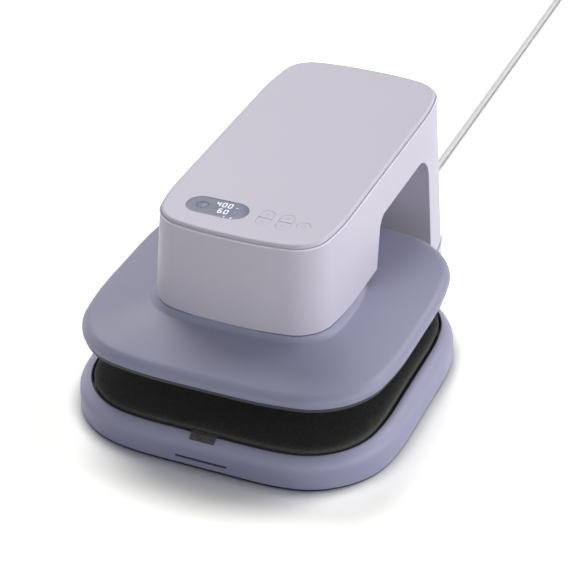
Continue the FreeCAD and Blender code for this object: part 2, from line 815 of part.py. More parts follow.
def makeBottomPlate():
    gap = s.shellWall + s.slipGap
    main = outlinePad("bottom_main", baseOutline.grown(-gap), baseBottom, baseInside)
    tail = outlinePad("bottom_tail", tailOutline.grown(-gap), baseBottom, baseInside)
    holes = []
    under = baseBottom - s.slipGap
    through = s.bottomPlateThickness + s.slipGap * 2
    for i, (x, y) in enumerate(footSpots()):
        holes.append(rod("spigot_hole%d" % i, "Z", (x, y, under), s.footSpigot + s.slipGap, through))
    for i, (x, y) in enumerate(bottomScrewSpots()):
        holes.append(rod("bottom_screw_hole%d" % i, "Z", (x, y, under), s.screwShankRadius + s.slipGap, through))
        holes.append(rod("bottom_screw_sink%d" % i, "Z", (x, y, under), s.screwHeadRadius + s.slipGap,
                         s.screwHeadHeight + s.slipGap))
    posts = [rod("bottom_standoff%d" % i, "Z", (x, y, baseInside), s.standoffRadius, s.standoffHeight)
             for i, (x, y) in enumerate(mainsBoardSpots())]
    keep("base_bottom_plate", cut("bottom_plate_solid", fuse("bottom_blank", main, tail, *posts), *holes))


def makeFeet():
    feet = []
    for i, (x, y) in enumerate(footSpots()):
        disc = rod("foot%d_disc" % i, "Z", (x, y, 0), s.footRadius, s.footStand)
        spigot = rod("foot%d_spigot" % i, "Z", (x, y, 0), s.footSpigot, s.footStand + s.bottomPlateThickness)
        feet.append(fuse("foot%d" % i, disc, spigot))
    keep("feet", fuse("foot_group", *feet))


def makeBottomScrews():
    """Screws up through the bottom plate; their threads end in the room above it."""
    screws = []
    for i, (x, y) in enumerate(bottomScrewSpots()):
        head = rod("bottom_screw%d_head" % i, "Z", (x, y, baseBottom), s.screwHeadRadius, s.screwHeadHeight)
        shank = rod("bottom_screw%d_shank" % i, "Z", (x, y, baseBottom), s.screwShankRadius,
                    s.bottomPlateThickness)
        screws.append(fuse("bottom_screw%d" % i, head, shank))
    keep("base_screws", fuse("base_screw_group", *screws))


# Steel frame under the floor of the recess, with the two hinge brackets standing on its rear
frameTop = baseCeiling
frameBottom = frameTop - s.frameThickness
bracketInner = s.barrelLength / 2 + s.barrelGap + s.slipGap


def makeBaseFrame():
    front = pressY - s.baseDepth / 2 + s.frameFrontInset
    middle = pressY + s.baseDepth / 2 - s.frameRearInset
    rear = stepRear - s.shellWall * 2
    half = s.frameWidth / 2
    tail = s.frameTailWidth / 2
    main = block("frame_main", (-half, half), (front, middle), (frameBottom, frameTop))
    tongue = block("frame_tongue", (-tail, tail), (middle - s.frameThickness, rear), (frameBottom, frameTop))
    keep("base_frame", fuse("base_frame_solid", main, tongue))


def makeBrackets():
    for side, name in ((-1, "hinge_bracket_left"), (1, "hinge_bracket_right")):
        outer = bracketInner + s.bracketThickness
        low, high = (bracketInner, outer) if side > 0 else (-outer, -bracketInner)
        eye = s.bracketEyeRadius
        # a point of the eye's circle, as shares of its radius
        aside, along = 0.6, 0.8
        points = [
            (hingeY - s.bracketReach, frameTop),
            (stepRear - s.shellWall * 2, frameTop),
            (hingeY + eye * aside, s.hingeHeight - eye * along),
            (hingeY + eye * aside, s.hingeHeight),
            (hingeY, s.hingeHeight + eye * along),
            (hingeY - s.bracketReach, frameTop + eye),
        ]
        web = sidePad(name + "_web", points, low, high)
        eyeDisc = rod(name + "_eye", "X", (low, hingeY, s.hingeHeight), eye, s.bracketThickness)
        hole = rod(name + "_hole", "X", (low - s.slipGap, hingeY, s.hingeHeight),
                   s.hingePinRadius + s.hingeRunGap, s.bracketThickness + s.slipGap * 2)
        keep(name, cut(name + "_solid", fuse(name + "_plate", web, eyeDisc), hole))


def makeHingePin():
    half = bracketInner + s.bracketThickness + s.pinOverhang
    keep("hinge_pin", rod("hinge_pin_solid", "X", (-half, hingeY, s.hingeHeight), s.hingePinRadius, half * 2))
    clips = []
    for side, word in ((-1, "left"), (1, "right")):
        start = bracketInner + s.bracketThickness + s.slipGap
        low = start if side > 0 else -start - s.clipThickness
        disc = rod("clip_%s_disc" % word, "X", (low, hingeY, s.hingeHeight), s.clipRadius, s.clipThickness)
        bore = rod("clip_%s_bore" % word, "X", (low - s.slipGap, hingeY, s.hingeHeight),
                   s.hingePinRadius + s.hingeRunGap, s.clipThickness + s.slipGap * 2)
        clips.append(cut("clip_" + word, disc, bore))
    keep("pin_clips", fuse("pin_clip_group", *clips))


def makeTorsionSprings():
    """Counterbalance springs: close-wound, so each is a sleeve round the pin inside the barrel's end."""
    for side, name in ((-1, "torsion_spring_left"), (1, "torsion_spring_right")):
        length = s.springPocketDepth - s.slipGap * 2
        inner = s.barrelLength / 2 - s.springPocketDepth + s.slipGap
        low = inner if side > 0 else -inner - length
        radius = s.hingePinRadius + s.slipGap + s.springWall
        sleeve = rod(name + "_sleeve", "X", (low, hingeY, s.hingeHeight), radius, length)
        bore = rod(name + "_bore", "X", (low - s.slipGap, hingeY, s.hingeHeight),
                   s.hingePinRadius + s.slipGap, length + s.slipGap * 2)
        keep(name, cut(name + "_solid", sleeve, bore))


def makeBumpers():
    """Rubber bumpers on the step that the closed arm rests on."""
    y = s.legFront + s.shellWall / 2
    bumpers = []
    for side, word in ((-1, "left"), (1, "right")):
        bumpers.append(rod("bumper_" + word, "Z", (side * s.bumperSpacing / 2, y, s.stepTop), s.bumperRadius,
                           s.legBottom - s.stepTop - s.seatGap))
    keep("stop_bumpers", fuse("stop_bumper_group", *bumpers))


# Mains board on the bottom plate, in the tail
mainsBoardY = halfDepth - s.mainsBoardBack


def mainsBoardSpots():
    halfX = s.mainsBoardWidth / 2 - s.standoffRadius * 2
    halfY = s.mainsBoardLength / 2 - s.standoffRadius * 2
    return [(side * halfX, mainsBoardY + way * halfY) for side in (-1, 1) for way in (-1, 1)]


def makeMainsBoard():
    low = baseInside + s.standoffHeight
    top = low + s.boardThickness
    halfX = s.mainsBoardWidth / 2
    halfY = s.mainsBoardLength / 2
    board = block("mains_card", (-halfX, halfX), (mainsBoardY - halfY, mainsBoardY + halfY), (low, top))
    front = mainsBoardY - s.mainsFilterLength / 2
    relay = block("mains_relay", (s.mainsPartInner, s.mainsPartOuter), (front, front + s.mainsRelayLength),
                  (top, frameBottom - s.shellWall))
    filterCan = block("mains_filter", (-s.mainsPartOuter, -s.mainsPartInner), (front, front + s.mainsFilterLength),
                      (top, frameBottom - s.shellWall * 2))
    keep("mains_board", fuse("mains_board_solid", board, relay, filterCan))


# Pad: a tray in the recess, and the cushion on it with tucked sides, a round edge and a low crown
def makePad():
    keep("pad_tray", outlinePad("pad_tray_plate", padOutline.grown(-s.shellWall), recessFloor, s.padFloor))
    edgeTop = s.padTop - s.padCrown
    waist = edgeTop - s.padRound
    sections = [
        (padOutline.grown(-s.padTuck), s.padFloor),
        (padOutline, s.padFloor + s.padRound),
        (padOutline, waist),
    ]
    steps = 4
    for i in range(1, steps + 1):
        turn = math.pi / 2 * i / steps
        sections.append((padOutline.grown(s.padRound * (math.cos(turn) - 1)), waist + s.padRound * math.sin(turn)))
    rings = 3
    for i in range(1, rings + 1):
        rise = math.sin(math.pi / 2 * i / rings)
        sections.append((padOutline.grown(-s.padRound - s.padCrownStep * i), edgeTop + s.padCrown * rise))
    keep("press_mat", outlineLoft("press_mat_cushion", sections))


def makeTab():
    """The fabric tab: it follows the rounded shoulder of the base down from the pad's front edge."""
    centreY = -halfDepth + s.baseShoulder
    centreZ = baseTop - s.baseShoulder
    inner = number(s.baseShoulder + s.slipGap / 2)
    outer = inner + number(s.tabThickness)
    centre = FreeCAD.Vector(0, number(centreY), number(centreZ))
    across = FreeCAD.Vector(1, 0, 0)
    start = number(s.tabStartAngle)
    end = number(s.tabEndAngle)
    middle = (start + end) / 2

    def arcPoint(radius, angle):
        swing = math.radians(angle)
        return centre + FreeCAD.Vector(0, -radius * math.sin(swing), radius * math.cos(swing))

    outerArc = Part.Arc(arcPoint(outer, start), arcPoint(outer, middle), arcPoint(outer, end)).toShape()
    innerArc = Part.Arc(arcPoint(inner, start), arcPoint(inner, middle), arcPoint(inner, end)).toShape()
    ends = [Part.makeLine(arcPoint(inner, angle), arcPoint(outer, angle)) for angle in (start, end)]
    wire = Part.Wire(Part.sortEdges([outerArc, ends[1], innerArc, ends[0]])[0])
    width = number(s.tabWidth)
    face = Part.Face(wire)
    face.translate(across * (-width / 2))
    tab = doc.addObject("Part::Feature", "mat_tab_solid")
    tab.Shape = face.extrude(across * width)
    keep("mat_tab", tab)


# Arm housing: one drafted shell of head, beam and leg, open at the top, under the head and under the leg
def archBody(name, offset, drop):
    """The space under the beam and in front of the leg, a step larger all round, with a deeper floor."""
    lowest = s.legBottom - s.shellWall * 6
    leanStretch = (s.archLean * s.archLean + 1).root()
    footLevel = s.headBottom - drop
    footY = -s.archFoot - leanStretch * offset - s.archLean * drop
    top = archTop + offset
    topY = footY + s.archLean * (top - footLevel)
    rear = s.legFront + offset
    front = -halfDepth
    points = [(front, lowest), (rear, lowest), (rear, top), (topY, top), (footY, footLevel), (front, footLevel)]
    halfX = s.tailWidth
    body = sidePad(name, points, -halfX, halfX)
    roundEdges(body, name + "_front_round", acrossEdge(topY, top), s.archFrontRadius + offset)
    roundEdges(body, name + "_rear_round", acrossEdge(rear, top), s.archRearRadius + offset)
    return body


def acrossEdge(y, z):
    """A test for the edge along X at one place of a side profile."""
    def wanted(edge):
        return all(abs(v.Y - number(y)) < 0.01 and abs(v.Z - number(z)) < 0.01 for v in edge.Vertexes)
    return wanted


def makeArmHousing():
    over = coverTop + s.shellWall
    under = s.legBottom - s.shellWall
    outside = outlineLoft("arm_outside", [(armOutline(s.legBottom, 0), s.legBottom),
                                          (armOutline(s.partingHeight, 0), s.partingHeight)])
    inside = outlineLoft("arm_inside", [(armOutline(under, s.shellWall), under),
                                        (armOutline(over, s.shellWall), over)])
    archWall = archBody("arch_wall", s.shellWall, s.shellWall * 2)
    arch = archBody("arch", 0, 0)
    seat = outlinePad("cover_seat", armOutline(s.partingHeight, s.coverLip), coverSeat, over)
    cavity = cut("arm_cavity", inside, archWall)
    keep("arm_housing", cut("arm_housing_solid", outside, cavity, arch, seat))


# Top cover with the recess for the window and the holes for the buttons
windowCentre = (-s.windowX, controlY)
rockers = {"temp": s.temperatureX, "time": s.timeX}


def rockerHalf(name, x, way, grow, low, high):
    """One half of a rocker capsule; grow widens it for its hole or its flange."""
    radius = s.rockerWidth / 2 + grow
    flat = way * (s.rockerSplit / 2 - grow)
    tip = way * (s.rockerLength / 2 - s.rockerWidth / 2)
    body = newBody(name)
    sketch = halfCapsuleSketch(body, name + "_plan", radius, flat, tip, (x, controlY), low)
    padOf(body, sketch, high - low)
    return body


def makeTopCover():
    plan = armOutline(s.partingHeight, s.coverLip + s.coverGap)
    slab = outlinePad("cover_slab", plan, coverSeat, coverTop)
    roundEdges(slab, "CoverRound", atLevel(coverTop), s.coverRound)
    glassSeat = coverTop - s.windowThickness
    recess = capsulePad("window_recess", s.windowLength / 2 + s.buttonGap, s.windowWidth / 2 + s.buttonGap,
                        windowCentre, glassSeat, coverTop + s.shellWall)
    light = capsulePad("window_light", s.windowLength / 2 - s.windowLedge, s.windowWidth / 2 - s.windowLedge,
                       windowCentre, coverSeat - s.slipGap, glassSeat + s.slipGap)
    holes = [recess, light]
    low = coverSeat - s.slipGap
    high = coverTop + s.slipGap
    for name, x in rockers.items():
        body = newBody(name + "_hole")
        halfX = s.rockerWidth / 2 + s.buttonGap
        halfY = s.rockerLength / 2 + s.buttonGap
        sketch = roundedSketch(body, name + "_hole_plan", halfX, halfY, halfX - s.slipGap / 10, (x, controlY), low)
        padOf(body, sketch, high - low)
        holes.append(body)
    holes.append(rod("power_hole", "Z", (s.powerX, controlY, low), s.powerRadius + s.buttonGap, high - low))
    posts = []
    postLow = boardTop
    for i, (x, y) in enumerate(boardPostSpots()):
        posts.append(rod("board_post%d" % i, "Z", (x, y, postLow), s.boardPostRadius,
                         coverSeat - postLow + s.slipGap))
    keep("top_cover", cut("top_cover_solid", fuse("cover_blank", slab, *posts), *holes))


# Buttons: each fills its hole, and a flange under the cover holds it in
buttonFlangeTop = coverSeat - s.seatGap
buttonFlangeBottom = buttonFlangeTop - s.buttonFlangeThickness
boardTop = buttonFlangeBottom - s.buttonTravel - s.seatGap - s.switchHeight
boardBottom = boardTop - s.boardThickness


def makeButtons():
    for name, x in rockers.items():
        for way, word in ((1, "up"), (-1, "down")):
            node = "%s_%s_button" % (name, word)
            cap = rockerHalf(node + "_cap", x, way, 0, buttonFlangeBottom, coverTop - s.slipGap / 2)
            flange = rockerHalf(node + "_flange", x, way, s.slipGap / 2, buttonFlangeBottom, buttonFlangeTop)
            ear = s.buttonFlange
            halfX = s.rockerWidth / 2 + s.buttonGap + ear
            nearY = way * (s.rockerLength / 4 - ear)
            farY = way * (s.rockerLength / 4 + ear)
            spanY = (controlY + nearY, controlY + farY) if way > 0 else (controlY + farY, controlY + nearY)
            ears = block(node + "_ears", (x - halfX, x + halfX), spanY, (buttonFlangeBottom, buttonFlangeTop))
            keep(node, fuse(node + "_solid", cap, flange, ears))
    power = roundButton("power_button", s.powerX, s.powerRadius, buttonFlangeTop)
    keep("power_button", power)
    start = roundButton("start_button", -s.startX, s.startRadius, coverTop - s.windowThickness - s.seatGap)
    ball = doc.addObject("Part::Sphere", "start_dimple")
    bind(ball, "Radius", s.dimpleRadius)
    bind(ball, "Placement.Base.x", -s.startX)
    bind(ball, "Placement.Base.y", controlY)
    bind(ball, "Placement.Base.z", coverTop - s.slipGap / 2 + s.dimpleRadius - s.dimpleDepth)
    keep("start_button", cut("start_button_dished", start, ball))


def roundButton(name, x, radius, flangeTop):
    """A round button: a cap through its hole, and a flange just under what holds it in."""
    cap = rod(name + "_cap", "Z", (x, controlY, buttonFlangeBottom), radius,
              coverTop - s.slipGap / 2 - buttonFlangeBottom)
    flange = rod(name + "_flange", "Z", (x, controlY, flangeTop - s.buttonFlangeThickness),
                 radius + s.buttonGap + s.buttonFlange, s.buttonFlangeThickness)
    return fuse(name + "_blank", cap, flange)


def makeWindow():
    low = coverTop - s.windowThickness
    pane = capsulePad("display_pane", s.windowLength / 2, s.windowWidth / 2, windowCentre, low, coverTop)
    hole = rod("start_hole", "Z", (-s.startX, controlY, low - s.slipGap), s.startRadius + s.buttonGap,
               s.windowThickness + s.slipGap * 2)
    keep("display_window", cut("display_window_solid", pane, hole))


def boardPostSpots():
    halfX = s.controlBoardLength / 2 - s.boardPostRadius
    halfY = s.controlBoardWidth / 2 - s.boardPostRadius
    return [(side * halfX, controlY + way * halfY) for side in (-1, 1) for way in (-1, 1)]


def switchSpots():
    quarter = s.rockerLength / 4
    spots = [(x, controlY + way * quarter) for x in rockers.values() for way in (-1, 1)]
    return spots + [(s.powerX, controlY), (-s.startX, controlY)]


def makeControlBoard():
    halfX = s.controlBoardLength / 2
    halfY = s.controlBoardWidth / 2
    board = block("control_card", (-halfX, halfX), (controlY - halfY, controlY + halfY), (boardBottom, boardTop))
    switches = []
    half = s.switchSize / 2
    for i, (x, y) in enumerate(switchSpots()):
        switches.append(block("switch%d" % i, (x - half, x + half), (y - half, y + half),
                              (boardTop - s.slipGap, boardTop + s.switchHeight)))
    keep("control_board", fuse("control_board_solid", board, *switches))
    left = s.startRadius + s.buttonFlange * 2 - s.startX
    keep("display_module", block("display_block", (left, left + s.displayLength),
                                 (controlY - s.displayWidth / 2, controlY + s.displayWidth / 2),
                                 (boardTop, boardTop + s.displayHeight)))


# Steel cheeks of the arm: from the head along the beam and down the leg onto the hinge barrel
def cheekProfile():
    foot = s.legBottom - s.barrelGap
    return [
        (-s.cheekFrontY, s.cheekFoot),
        (-s.cheekRearY, s.cheekFoot),
        (-s.cheekRearY, archTop),
        (s.cheekLegFront, archTop),
        (s.cheekLegFront, foot + s.barrelRadius),
        (hingeY - s.barrelRadius, foot),
        (legRear + s.shellWall * 2, foot),
        (legRear, cheekTop),
        (-s.cheekFrontY, cheekTop),
    ]


def makeCheeks():
    for side, name in ((-1, "cheek_plate_left"), (1, "cheek_plate_right")):
        low, high = (cheekInner, cheekOuter) if side > 0 else (-cheekOuter, -cheekInner)
        plate = sidePad(name + "_sheet", cheekProfile(), low, high)
        clear = archBody(name + "_arch", s.shellWall + s.slipGap, s.shellWall * 4)
        seat = rod(name + "_seat", "X", (low - s.slipGap, hingeY, s.hingeHeight),
                   s.barrelRadius + s.hingeRunGap, s.cheekThickness + s.slipGap * 2)
        keep(name, cut(name + "_solid", plate, clear, seat))
    back = s.plateThickness
    keep("leg_plate", block("leg_sheet", (-cheekInner, cheekInner), (legRear - back * 2, legRear - back),
                            (s.bracingFoot, motorPlateLevel)))


def makeBarrel():
    half = s.barrelLength / 2
    tube = rod("barrel_tube", "X", (-half, hingeY, s.hingeHeight), s.barrelRadius, s.barrelLength)
    bore = rod("barrel_bore", "X", (-half - s.slipGap, hingeY, s.hingeHeight), s.barrelBore,
               s.barrelLength + s.slipGap * 2)
    pockets = []
    for side, word in ((-1, "left"), (1, "right")):
        low = half - s.springPocketDepth if side > 0 else -half - s.slipGap
        pockets.append(rod("spring_pocket_" + word, "X", (low, hingeY, s.hingeHeight), s.springPocketRadius,
                           s.springPocketDepth + s.slipGap))
    keep("hinge_barrel", cut("hinge_barrel_solid", tube, bore, *pockets))
    bushes = []
    for side, word in ((-1, "left"), (1, "right")):
        outer = half - s.springPocketDepth
        low = outer - s.bushLength if side > 0 else -outer
        ring = rod("hinge_bush_%s_ring" % word, "X", (low, hingeY, s.hingeHeight), s.barrelBore, s.bushLength)
        hole = rod("hinge_bush_%s_hole" % word, "X", (low - s.slipGap, hingeY, s.hingeHeight),
                   s.hingePinRadius + s.hingeRunGap, s.bushLength + s.slipGap * 2)
        bushes.append(cut("hinge_bush_" + word, ring, hole))
    keep("hinge_bushes", fuse("hinge_bush_group", *bushes))


# Cross plates between the cheeks
def postSpots():
    return [(side * s.postSpacing / 2, pressY) for side in (-1, 1)]


def makeCrossPlates():
    front = -s.cheekFrontY
    rear = -s.cheekRearY - s.cheekThickness
    motorPlate = block("motor_sheet", (-cheekInner, cheekInner), (front, rear),
                       (motorPlateLevel, motorPlateLevel + s.plateThickness))
    bearingRadius = s.screwRadius + s.runGap + s.guideBushWall
    holes = [rod("motor_screw_hole", "Z", (0, pressY, motorPlateLevel - s.slipGap), bearingRadius + s.runGap,
                 s.plateThickness + s.slipGap * 2)]
    for i, (x, y) in enumerate(postSpots()):
        holes.append(rod("motor_post_hole%d" % i, "Z", (x, y, motorPlateLevel - s.slipGap),
                         s.postRadius + s.postClearance, s.plateThickness + s.slipGap * 2))
    keep("motor_plate", cut("motor_plate_solid", motorPlate, *holes))

    bearing = rod("bearing_ring", "Z", (0, pressY, motorPlateLevel), bearingRadius, s.plateThickness)
    bearingBore = rod("bearing_bore", "Z", (0, pressY, motorPlateLevel - s.slipGap), s.screwRadius + s.runGap,
                      s.plateThickness + s.slipGap * 2)
    keep("screw_bearing", cut("screw_bearing_solid", bearing, bearingBore))

    guidePlate = block("guide_sheet", (-cheekInner, cheekInner), (front, rear),
                       (s.guidePlateLevel, s.guidePlateLevel + s.plateThickness))
    bushes = []
    openings = []
    spots = [(0, pressY, s.columnRadius)] + [(x, y, s.postRadius) for x, y in postSpots()]
    for i, (x, y, radius) in enumerate(spots):
        outside = radius + s.runGap + s.guideBushWall
        openings.append(rod("guide_opening%d" % i, "Z", (x, y, s.guidePlateLevel - s.slipGap), outside + s.runGap,
                            s.plateThickness + s.slipGap * 2))
        ring = rod("guide_ring%d" % i, "Z", (x, y, s.guidePlateLevel), outside, s.guideBushLength)
        bore = rod("guide_bore%d" % i, "Z", (x, y, s.guidePlateLevel - s.slipGap), radius + s.runGap,
                   s.guideBushLength + s.slipGap * 2)
        bushes.append(cut("guide_bush%d" % i, ring, bore))
    keep("guide_plate", cut("guide_plate_solid", guidePlate, *openings))
    keep("guide_bushes", fuse("guide_bush_group", *bushes))

    beam = block("beam_sheet", (-cheekInner, cheekInner), (s.cheekRearY, s.legFront),
                 (beamPlateLevel, beamPlateLevel + s.plateThickness))
    posts = []
    for i, (x, y) in enumerate(mainBoardSpots()):
        posts.append(rod("main_standoff%d" % i, "Z", (x, y, beamPlateLevel), s.standoffRadius,
                         s.plateThickness + s.standoffHeight))
    keep("beam_plate", fuse("beam_plate_solid", beam, *posts))


mainBoardY = (s.cheekRearY + s.legFront) / 2


def mainBoardSpots():
    halfX = s.mainBoardWidth / 2 - s.standoffRadius * 2
    halfY = s.mainBoardLength / 2 - s.standoffRadius * 2
    return [(side * halfX, mainBoardY + way * halfY) for side in (-1, 1) for way in (-1, 1)]


def makeMainBoard():
    low = beamPlateLevel + s.plateThickness + s.standoffHeight
    top = low + s.boardThickness
    halfX = s.mainBoardWidth / 2
    halfY = s.mainBoardLength / 2
    card = block("main_card", (-halfX, halfX), (mainBoardY - halfY, mainBoardY + halfY), (low, top))
    sink = block("main_heat_sink", (-s.heatSinkWidth / 2, s.heatSinkWidth / 2),
                 (mainBoardY - s.heatSinkLength, mainBoardY), (top, top + s.heatSinkHeight))
    rowEnd = mainBoardY + halfY - s.socketRowInset
    plugRow = block("main_sockets", (-s.socketRowLength / 2, s.socketRowLength / 2),
                    (rowEnd - s.socketRowWidth, rowEnd), (top, top + s.socketRowHeight))
    keep("main_board", fuse("main_board_solid", card, sink, plugRow))


def makeMotor():
    low = motorPlateLevel + s.plateThickness
    halfX = s.motorWidth / 2
    front = pressY - s.motorDepth / 2
    gearbox = block("gearbox", (-halfX, halfX), (front, front + s.motorDepth), (low, low + s.motorHeight))
    can = rod("motor_can", "Z", (0, pressY, low), s.motorCanRadius, s.motorHeight + s.motorCanHeight)
    bore = rod("motor_bore", "Z", (0, pressY, low - s.slipGap), s.screwRadius + s.runGap,
               screwHead - low + s.slipGap * 2)
    ways = []
    for i, (x, y) in enumerate(postSpots()):
        ways.append(rod("motor_post_way%d" % i, "Z", (x, y, low - s.slipGap), s.postRadius + s.postClearance,
                        s.motorHeight + s.slipGap * 2))
    keep("press_motor", cut("press_motor_solid", fuse("motor_blank", gearbox, can), bore, *ways))
    keep("lead_screw", rod("lead_screw_solid", "Z", (0, pressY, s.screwFoot), s.screwRadius,
                           screwHead - s.screwFoot))


def makeFrameScrews():
    """Screws that hold the motor and the bearing plate, seen on top of the gearbox."""
    level = motorPlateLevel + s.plateThickness + s.motorHeight
    halfX = s.motorWidth / 2 - s.screwHeadRadius * 2
    halfY = s.motorDepth / 2 - s.screwHeadRadius * 2
    screws = []
    for side in (-1, 1):
        for way in (-1, 1):
            name = "motor_fixing%d%d" % (side + 1, way + 1)
            screws.append(rod(name, "Z", (side * halfX, pressY + way * halfY, level), s.screwHeadRadius,
                              s.screwHeadHeight))
    keep("motor_screws", fuse("motor_screw_group", *screws))


# Platen
backingLevel = s.insulationLevel + s.insulationThickness
backingTop = backingLevel + s.backingThickness
headCentreY = (armCentreY - s.armTopLength / 2 - s.draftSlope * (s.partingHeight - s.headBottom) - s.archFoot) / 2
headHalfY = headCentreY + s.archFoot
headOutline = Outline(s.armTopWidth / 2 + s.draftSlope * (s.partingHeight - s.headBottom), -headHalfY, headCentreY,
                      s.plinthMidRadius, s.plinthEndRadius)
neckOutline = Outline(headOutline.halfX - s.neckInset, headOutline.halfY - s.neckInset, headCentreY,
                      s.neckMidRadius, s.neckEndRadius)


def platenSections(inset):
    """The platen's skin: a short side, a round edge, a gentle cone up to the plinth under the head."""
    skin = platenOutline.grown(-inset)
    sideTop = s.platenEdge + s.platenSide
    sections = [(skin, s.platenEdge), (skin, sideTop)]
    steps = 4
    for i in range(1, steps + 1):
        turn = math.radians(number(s.platenRoundAngle)) * i / steps
        sections.append((skin.grown(s.platenRound * (math.cos(turn) - 1)),
                         sideTop + s.platenRound * math.sin(turn) - inset * (i / steps)))
    flareSteps = 3
    for i in range(flareSteps, -1, -1):
        turn = math.radians(number(s.flareAngle)) * i / flareSteps
        plan = headOutline.grown(s.plinthMargin - inset + s.flareRadius * (1 - math.cos(turn)))
        sections.append((plan, s.plinthTopLevel - inset - s.flareRadius * math.sin(turn)))
    return sections


def makePlatenShell():
    outside = outlineLoft("platen_outside", platenSections(0))
    inside = outlineLoft("platen_inside", platenSections(s.shellWall))
    neckHole = outlinePad("neck_hole", neckOutline.grown(s.slipGap), s.platenEdge, s.plinthTopLevel + s.shellWall)
    hollow = cut("platen_hollow", outside, inside, neckHole)
    bosses = []
    for i, (x, y) in enumerate(bossSpots()):
        pillar = rod("platen_boss%d_pillar" % i, "Z", (x, y, backingTop), s.bossRadius,
                     s.plinthTopLevel - backingTop)
        bosses.append(common("platen_boss%d" % i, pillar, outside))
    keep("platen_shell", fuse("platen_shell_solid", hollow, *bosses))


def bossSpots():
    half = s.bossSpacing / 2
    return [(side * half, pressY + way * half) for side in (-1, 1) for way in (-1, 1)]


def makePlatenRim():
    top = s.platenEdge
    plan = platenOutline.grown(-s.rimInset)
    ring = outlinePad("rim_blank", plan, top - s.rimDrop, top)
    hole = outlinePad("rim_hole", plan.grown(-s.rimWall), top - s.rimDrop - s.slipGap, top + s.slipGap)
    keep("platen_rim", cut("platen_rim_solid", ring, hole))


def makeNeck():
    tube = outlinePad("neck_tube", neckOutline, backingTop, neckTop)
    hole = outlinePad("neck_room", neckOutline.grown(-s.neckWall), backingTop - s.slipGap, neckTop + s.slipGap)
    keep("neck_sleeve", cut("neck_sleeve_solid", tube, hole))


def makeColumn():
    flangeTop = backingTop + s.columnFlangeThickness
    foot = rod("column_foot", "Z", (0, pressY, backingTop), s.columnFlangeRadius, s.columnFlangeThickness)
    tube = rod("column_tube", "Z", (0, pressY, backingTop), s.columnRadius, columnTop - backingTop)
    bore = rod("column_bore", "Z", (0, pressY, flangeTop), s.columnBore, columnTop - flangeTop + s.slipGap)
    keep("press_column", cut("press_column_solid", fuse("column_blank", foot, tube), bore))
    body = rod("nut_body", "Z", (0, pressY, columnTop - s.nutLength), s.columnBore - s.runGap, s.nutLength)
    flange = rod("nut_flange", "Z", (0, pressY, columnTop), s.nutFlangeRadius, s.nutFlangeThickness)
    thread = rod("nut_thread", "Z", (0, pressY, columnTop - s.nutLength - s.slipGap), s.screwRadius + s.runGap,
                 s.nutLength + s.nutFlangeThickness + s.slipGap * 2)
    keep("press_nut", cut("press_nut_solid", fuse("nut_blank", body, flange), thread))
    posts = [rod("guide_post%d" % i, "Z", (x, y, backingTop), s.postRadius, postTop - backingTop)
             for i, (x, y) in enumerate(postSpots())]
    keep("guide_posts", fuse("guide_post_group", *posts))


def makeHeatStack():
    top = s.heatPlateLevel + s.heatPlateThickness
    plan = Outline(s.heatPlateWidth / 2, s.heatPlateDepth / 2, pressY, s.heatPlateMidRadius, s.heatPlateEndRadius)
    plate = outlinePad("heat_plate_casting", plan, s.heatPlateLevel, top)
    dressEdges(plate, "PlateChamfer", "Chamfer", atLevel(s.heatPlateLevel), "Size", s.heatPlateChamfer)
    keep("heat_plate", plate)

    half = s.insulationSize / 2
    backing = roundedPad("backing_sheet", half, half, s.insulationCorner, (0, pressY), backingLevel, backingTop)
    keep("backing_plate", backing)
    board = roundedPad("insulation_sheet", half, half, s.insulationCorner, (0, pressY), s.insulationLevel,
                       backingLevel)
    bores = [rod("cut_out_room", "Z", (0, pressY, s.insulationLevel - s.slipGap), s.cutOutRadius + s.slipGap,
                 s.insulationThickness + s.slipGap * 2)]
    for i, (x, y) in enumerate(bossSpots()):
        bores.append(rod("screw_room%d" % i, "Z", (x, y, s.insulationLevel - s.slipGap),
                         s.screwHeadRadius + s.slipGap, s.insulationThickness + s.slipGap * 2))
    feet = []
    for side in (-1, 1):
        for way in (-1, 1):
            name = "insulation_foot%d%d" % (side + 1, way + 1)
            feet.append(rod(name, "Z", (side * (half - s.insulationFootInset),
                                        pressY + way * s.insulationFootSpacing / 2, top),
                            s.bossRadius, s.insulationLevel - top + s.slipGap))
    keep("insulation_board", cut("insulation_board_solid", fuse("insulation_blank", board, *feet), *bores))
    keep("thermal_cut_out", rod("thermal_cut_out_solid", "Z", (0, pressY, top), s.cutOutRadius, s.cutOutHeight))


def makeElement():
    """The heating element: one tube folded into straight runs with half turns, lying on the plate."""
    radius = number(s.elementRadius)
    run = number(s.elementRun) / 2
    pitch = number(s.elementPitch)
    level = number(s.heatPlateLevel + s.heatPlateThickness) + radius
    middle = number(pressY)
    runs = 6
    lanes = [i - (runs - 1) / 2 for i in range(runs)]
    edges = []
    for i, lane in enumerate(lanes):
        x = lane * pitch
        way = 1 if i % 2 == 0 else -1
        start = FreeCAD.Vector(x, middle - way * run, level)
        end = FreeCAD.Vector(x, middle + way * run, level)
        edges.append(Part.makeLine(start, end))
        if i + 1 < len(lanes):
            top = FreeCAD.Vector(x + pitch / 2, middle + way * (run + pitch / 2), level)
            after = FreeCAD.Vector(x + pitch, middle + way * run, level)
            edges.append(Part.Arc(end, top, after).toShape())
    path = Part.Wire(edges)
    ring = Part.Wire([Part.makeCircle(radius, edges[0].Vertexes[0].Point, FreeCAD.Vector(0, 1, 0))])
    tube = doc.addObject("Part::Feature", "heating_element_solid")
    tube.Shape = path.makePipeShell([ring], True, False)
    keep("heating_element", tube)


